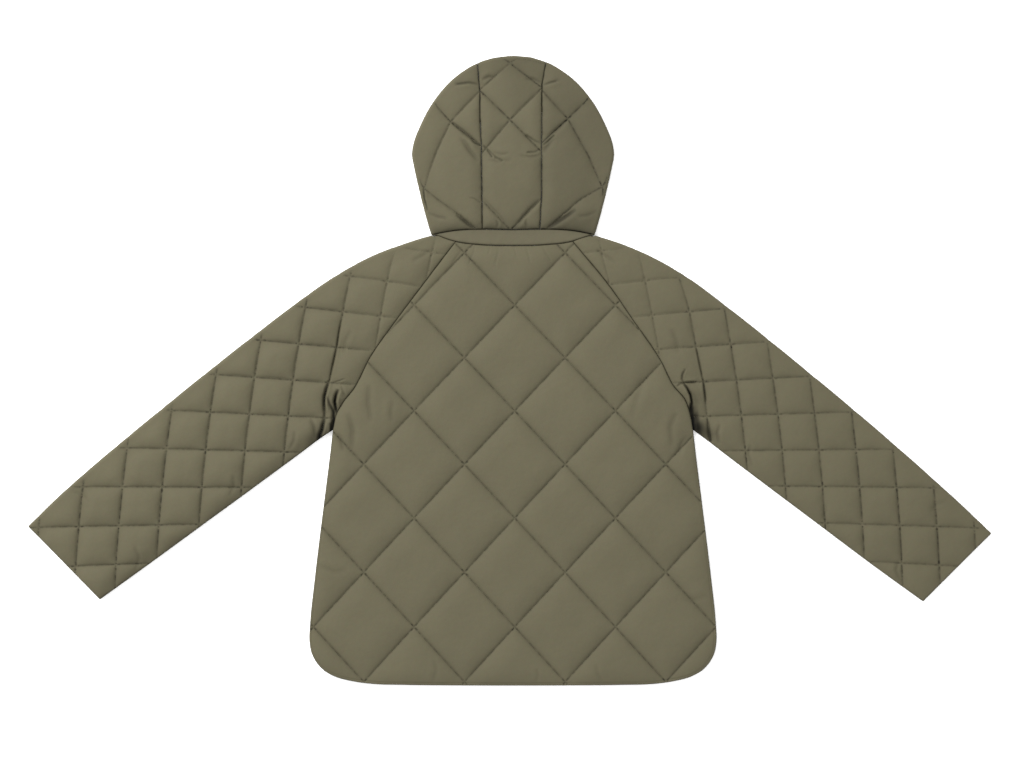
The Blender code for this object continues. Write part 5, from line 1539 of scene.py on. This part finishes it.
def band_section(a, b, turn, travel):
    """Points and painted shade round one section: up the outer face, then down the inner."""
    up, out = math.sin(math.radians(turn)), math.cos(math.radians(turn))
    out *= -1.0 if a[0] < 0.0 else 1.0
    wide = float(np.hypot(*(b - a)))
    seam = SEAM_GAP / wide
    ring, shades = [], []
    for share in BAND_SHARES:
        q = a + (b - a) * (seam + share * (1.0 - 2.0 * seam))
        gap = min(share, 1.0 - share) * wide
        rise = 1.0 - (1.0 - min(gap / 2.6, 1.0)) ** 2
        full = min(BAND_WALL + 0.7, 2.4 + 0.12 * wide)
        pull = float(wander(np.array([travel / 6.0]), 811 if share > 0.5 else 812)[0])
        thick = 1.2 + (full - 1.2) * math.sqrt(max(rise, 0.0))
        thick += 0.35 * pull * math.exp(-(gap / 6.0) ** 2)
        thick += 0.25 * float(wander(np.array([travel / 31.0 + share]), 813)[0]) * rise
        if up < -0.99:
            thick = min(thick + 0.5, UNDER_WALL)
        ring.append((q[0] + out * (SLIT + thick), q[1], MID + (SLIT + thick) * up))
        # Painted shade: black in the pocket at each end, but not on the very tip, which is
        # outside, dark along both seams, and a little under the hood's edge.
        corner = 0.95 * math.exp(-((abs(q[0]) - BAND_POCKET) / 3.4) ** 2) * (0.25 + 0.75 * share)
        seam_line = (0.95 if share > 0.5 else 0.42) * math.exp(-(gap / 0.8) ** 2)
        under_hood = 0.34 * math.exp(-(1.0 - share) * wide / 2.4)
        shades.append(min(max(seam_line, corner, under_hood), 1.0))
    for t in (1.0 - seam, seam):
        q = a + (b - a) * t
        ring.append((q[0] + out * SLIT, q[1], MID + SLIT * up))
    # The band's two inner points get a deep painted shade.
    return ring, shades + [0.8, 0.8]


def collar_band():
    """The band as one closed mesh, with its cloth area in m2 and its length in m."""
    points, rings, shades, travel, last = [], [], [], 0.0, None
    for a, b, turn in band_stations():
        middle = 0.5 * (a + b)
        travel += 0.0 if last is None else float(np.hypot(*(middle - last)))
        last = middle
        ring, dark = band_section(a, b, turn, travel)
        rings.append(list(range(len(points), len(points) + len(ring))))
        points.extend(ring)
        shades.extend(dark)
    faces = []
    for ring, other in zip(rings[:-1], rings[1:]):
        bridge(faces, ring, other)
    for r in (rings[0], rings[-1][::-1]):
        faces += [[r[0], r[k], r[k + 1]] for k in range(1, len(r) - 1)]
    obj = solid_mesh("collar_band", points, faces, band_nylon, shades)
    inner = np.array(points).reshape(len(rings), -1, 3)[:, -2:]
    p, q, r, s = inner[:-1, 0], inner[:-1, 1], inner[1:, 0], inner[1:, 1]
    halves = (np.linalg.norm(np.cross(q - p, r - p), axis=1),
              np.linalg.norm(np.cross(s - q, r - q), axis=1))
    return obj, 0.5 * float(sum(half.sum() for half in halves)) * MM * MM, travel * MM


band, band_area, band_length = collar_band()
declare(band, "collar", (band_length, 0.030), band_area)

# %% [markdown]
# ## Press studs
# A stud is four stamped parts that snap together through the two plackets. From
# outside only the domed cap shows, so it is turned on a lathe profile with a low
# crown and a rolled rim, with its post and the washer on the inner side.

# %% Studs
CAP_PROFILE = (      # radius, z in mm, from the middle of the cap up to the washer
    (0.0, 0.02), (2.4, 0.0), (4.6, 0.04), (5.9, 0.14), (6.6, 0.10),
    (7.1, 0.14), (7.45, 0.32), (7.45, 0.56), (7.1, 0.74), (2.5, 0.76),
    (2.5, 4.42), (6.2, 4.44), (6.4, 4.52), (6.2, 4.6), (0.0, 4.6),
)


def turned_stud(name, centre, sides=40):
    """The profile turned round the stud's axis, closed at both ends."""
    points, rings, faces = [], [], []
    for radius, z in CAP_PROFILE:
        if radius == 0.0:
            rings.append([len(points)])
            points.append((centre[0], centre[1], z))
            continue
        rings.append(list(range(len(points), len(points) + sides)))
        for k in range(sides):
            a = 2.0 * math.pi * k / sides
            points.append((centre[0] + radius * math.cos(a), centre[1] + radius * math.sin(a), z))
    for ring, other in zip(rings[:-1], rings[1:]):
        if len(ring) == 1:
            faces += [[ring[0], other[(k + 1) % sides], other[k]] for k in range(sides)]
        elif len(other) == 1:
            faces += [[other[0], ring[k], ring[(k + 1) % sides]] for k in range(sides)]
        else:
            bridge(faces, other, ring)
    return solid_mesh(name, points, faces, stud_finish)


for k in range(STUD_COUNT):
    stud = turned_stud("press_stud_%d" % (k + 1), (0.0, STUD_TOP_Y - STUD_PITCH * k))
    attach(stud, "root")
    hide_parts("stud_%d" % (k + 1))
print("studs:", STUD_COUNT)

# %% [markdown]
# ## Floor and light
# The jacket lies on a pale table under a soft key from the upper left, with plain
# light from all round. The key's low share keeps the relief readable without hard
# shadows. The table is opal acrylic, as used for laid garments: it glows a little
# and swallows what is left of them.

# %% Stage and lamps
TABLE_HALF, TABLE_Z = 6.0, -0.0003


def opal_acrylic():
    """Acrylic lit a little from below, with a hardly visible mottle."""
    material, tree, spot = empty_material("opal_acrylic_table")
    grain = noise(tree, spot, 40.0).outputs["Fac"]
    surface(tree, Base_Color=mixed(tree, grain, tone("#FAFAFA"), tone("#FCFCFC")),
            Roughness=0.9, Emission_Color=(1.0, 1.0, 1.0, 1.0), Emission_Strength=0.28)
    return material


table_mesh = bpy.data.meshes.new("table")
corners = ((-1, -1), (1, -1), (1, 1), (-1, 1))
table_mesh.from_pydata([(TABLE_HALF * x, TABLE_HALF * y, TABLE_Z) for x, y in corners],
                       [], [(0, 1, 2, 3)])
table_mesh.materials.append(opal_acrylic())
table = bpy.data.objects.new("table", table_mesh)
bpy.context.scene.collection.objects.link(table)


def soft_box(name, place, aim, size, power):
    """A square area lamp turned to what it lights."""
    data = bpy.data.lights.new(name, "AREA")
    data.shape, data.size, data.energy = "SQUARE", size, power
    lamp = bpy.data.objects.new(name, data)
    bpy.context.scene.collection.objects.link(lamp)
    lamp.location = place
    lamp.rotation_euler = (Vector(aim) - Vector(place)).to_track_quat("-Z", "Y").to_euler()
    return lamp


soft_box("key", (-2.5, 2.4, 2.8), (0.0, 0.0, 0.0), 2.4, 285.0)
world = bpy.data.worlds.new("studio")
bpy.context.scene.world = world
world.use_nodes = True
backdrop = world.node_tree.nodes["Background"]
backdrop.inputs["Color"].default_value = (1.0, 1.0, 1.0, 1.0)
backdrop.inputs["Strength"].default_value = 1.1
bpy.context.scene.view_settings.view_transform = "Standard"

# %% [markdown]
# ## Camera
# It looks straight down from a ladder with a long lens, so the hem and the hood
# are both drawn at the same scale.

# %% Camera
camera_data = bpy.data.cameras.new("top_camera")
camera_data.lens = 100.0
camera_data.sensor_width = 36.0
camera = bpy.data.objects.new("top_camera", camera_data)
bpy.context.scene.collection.objects.link(camera)
camera.location = (-0.00147, -0.01985, 4.188)
bpy.context.scene.camera = camera

# %% [markdown]
# ## Face count
# The faces of all the pieces are counted and printed.

# %% Face count
print("faces in all:", sum(len(o.data.polygons) for o in ALL_PIECES.values()))
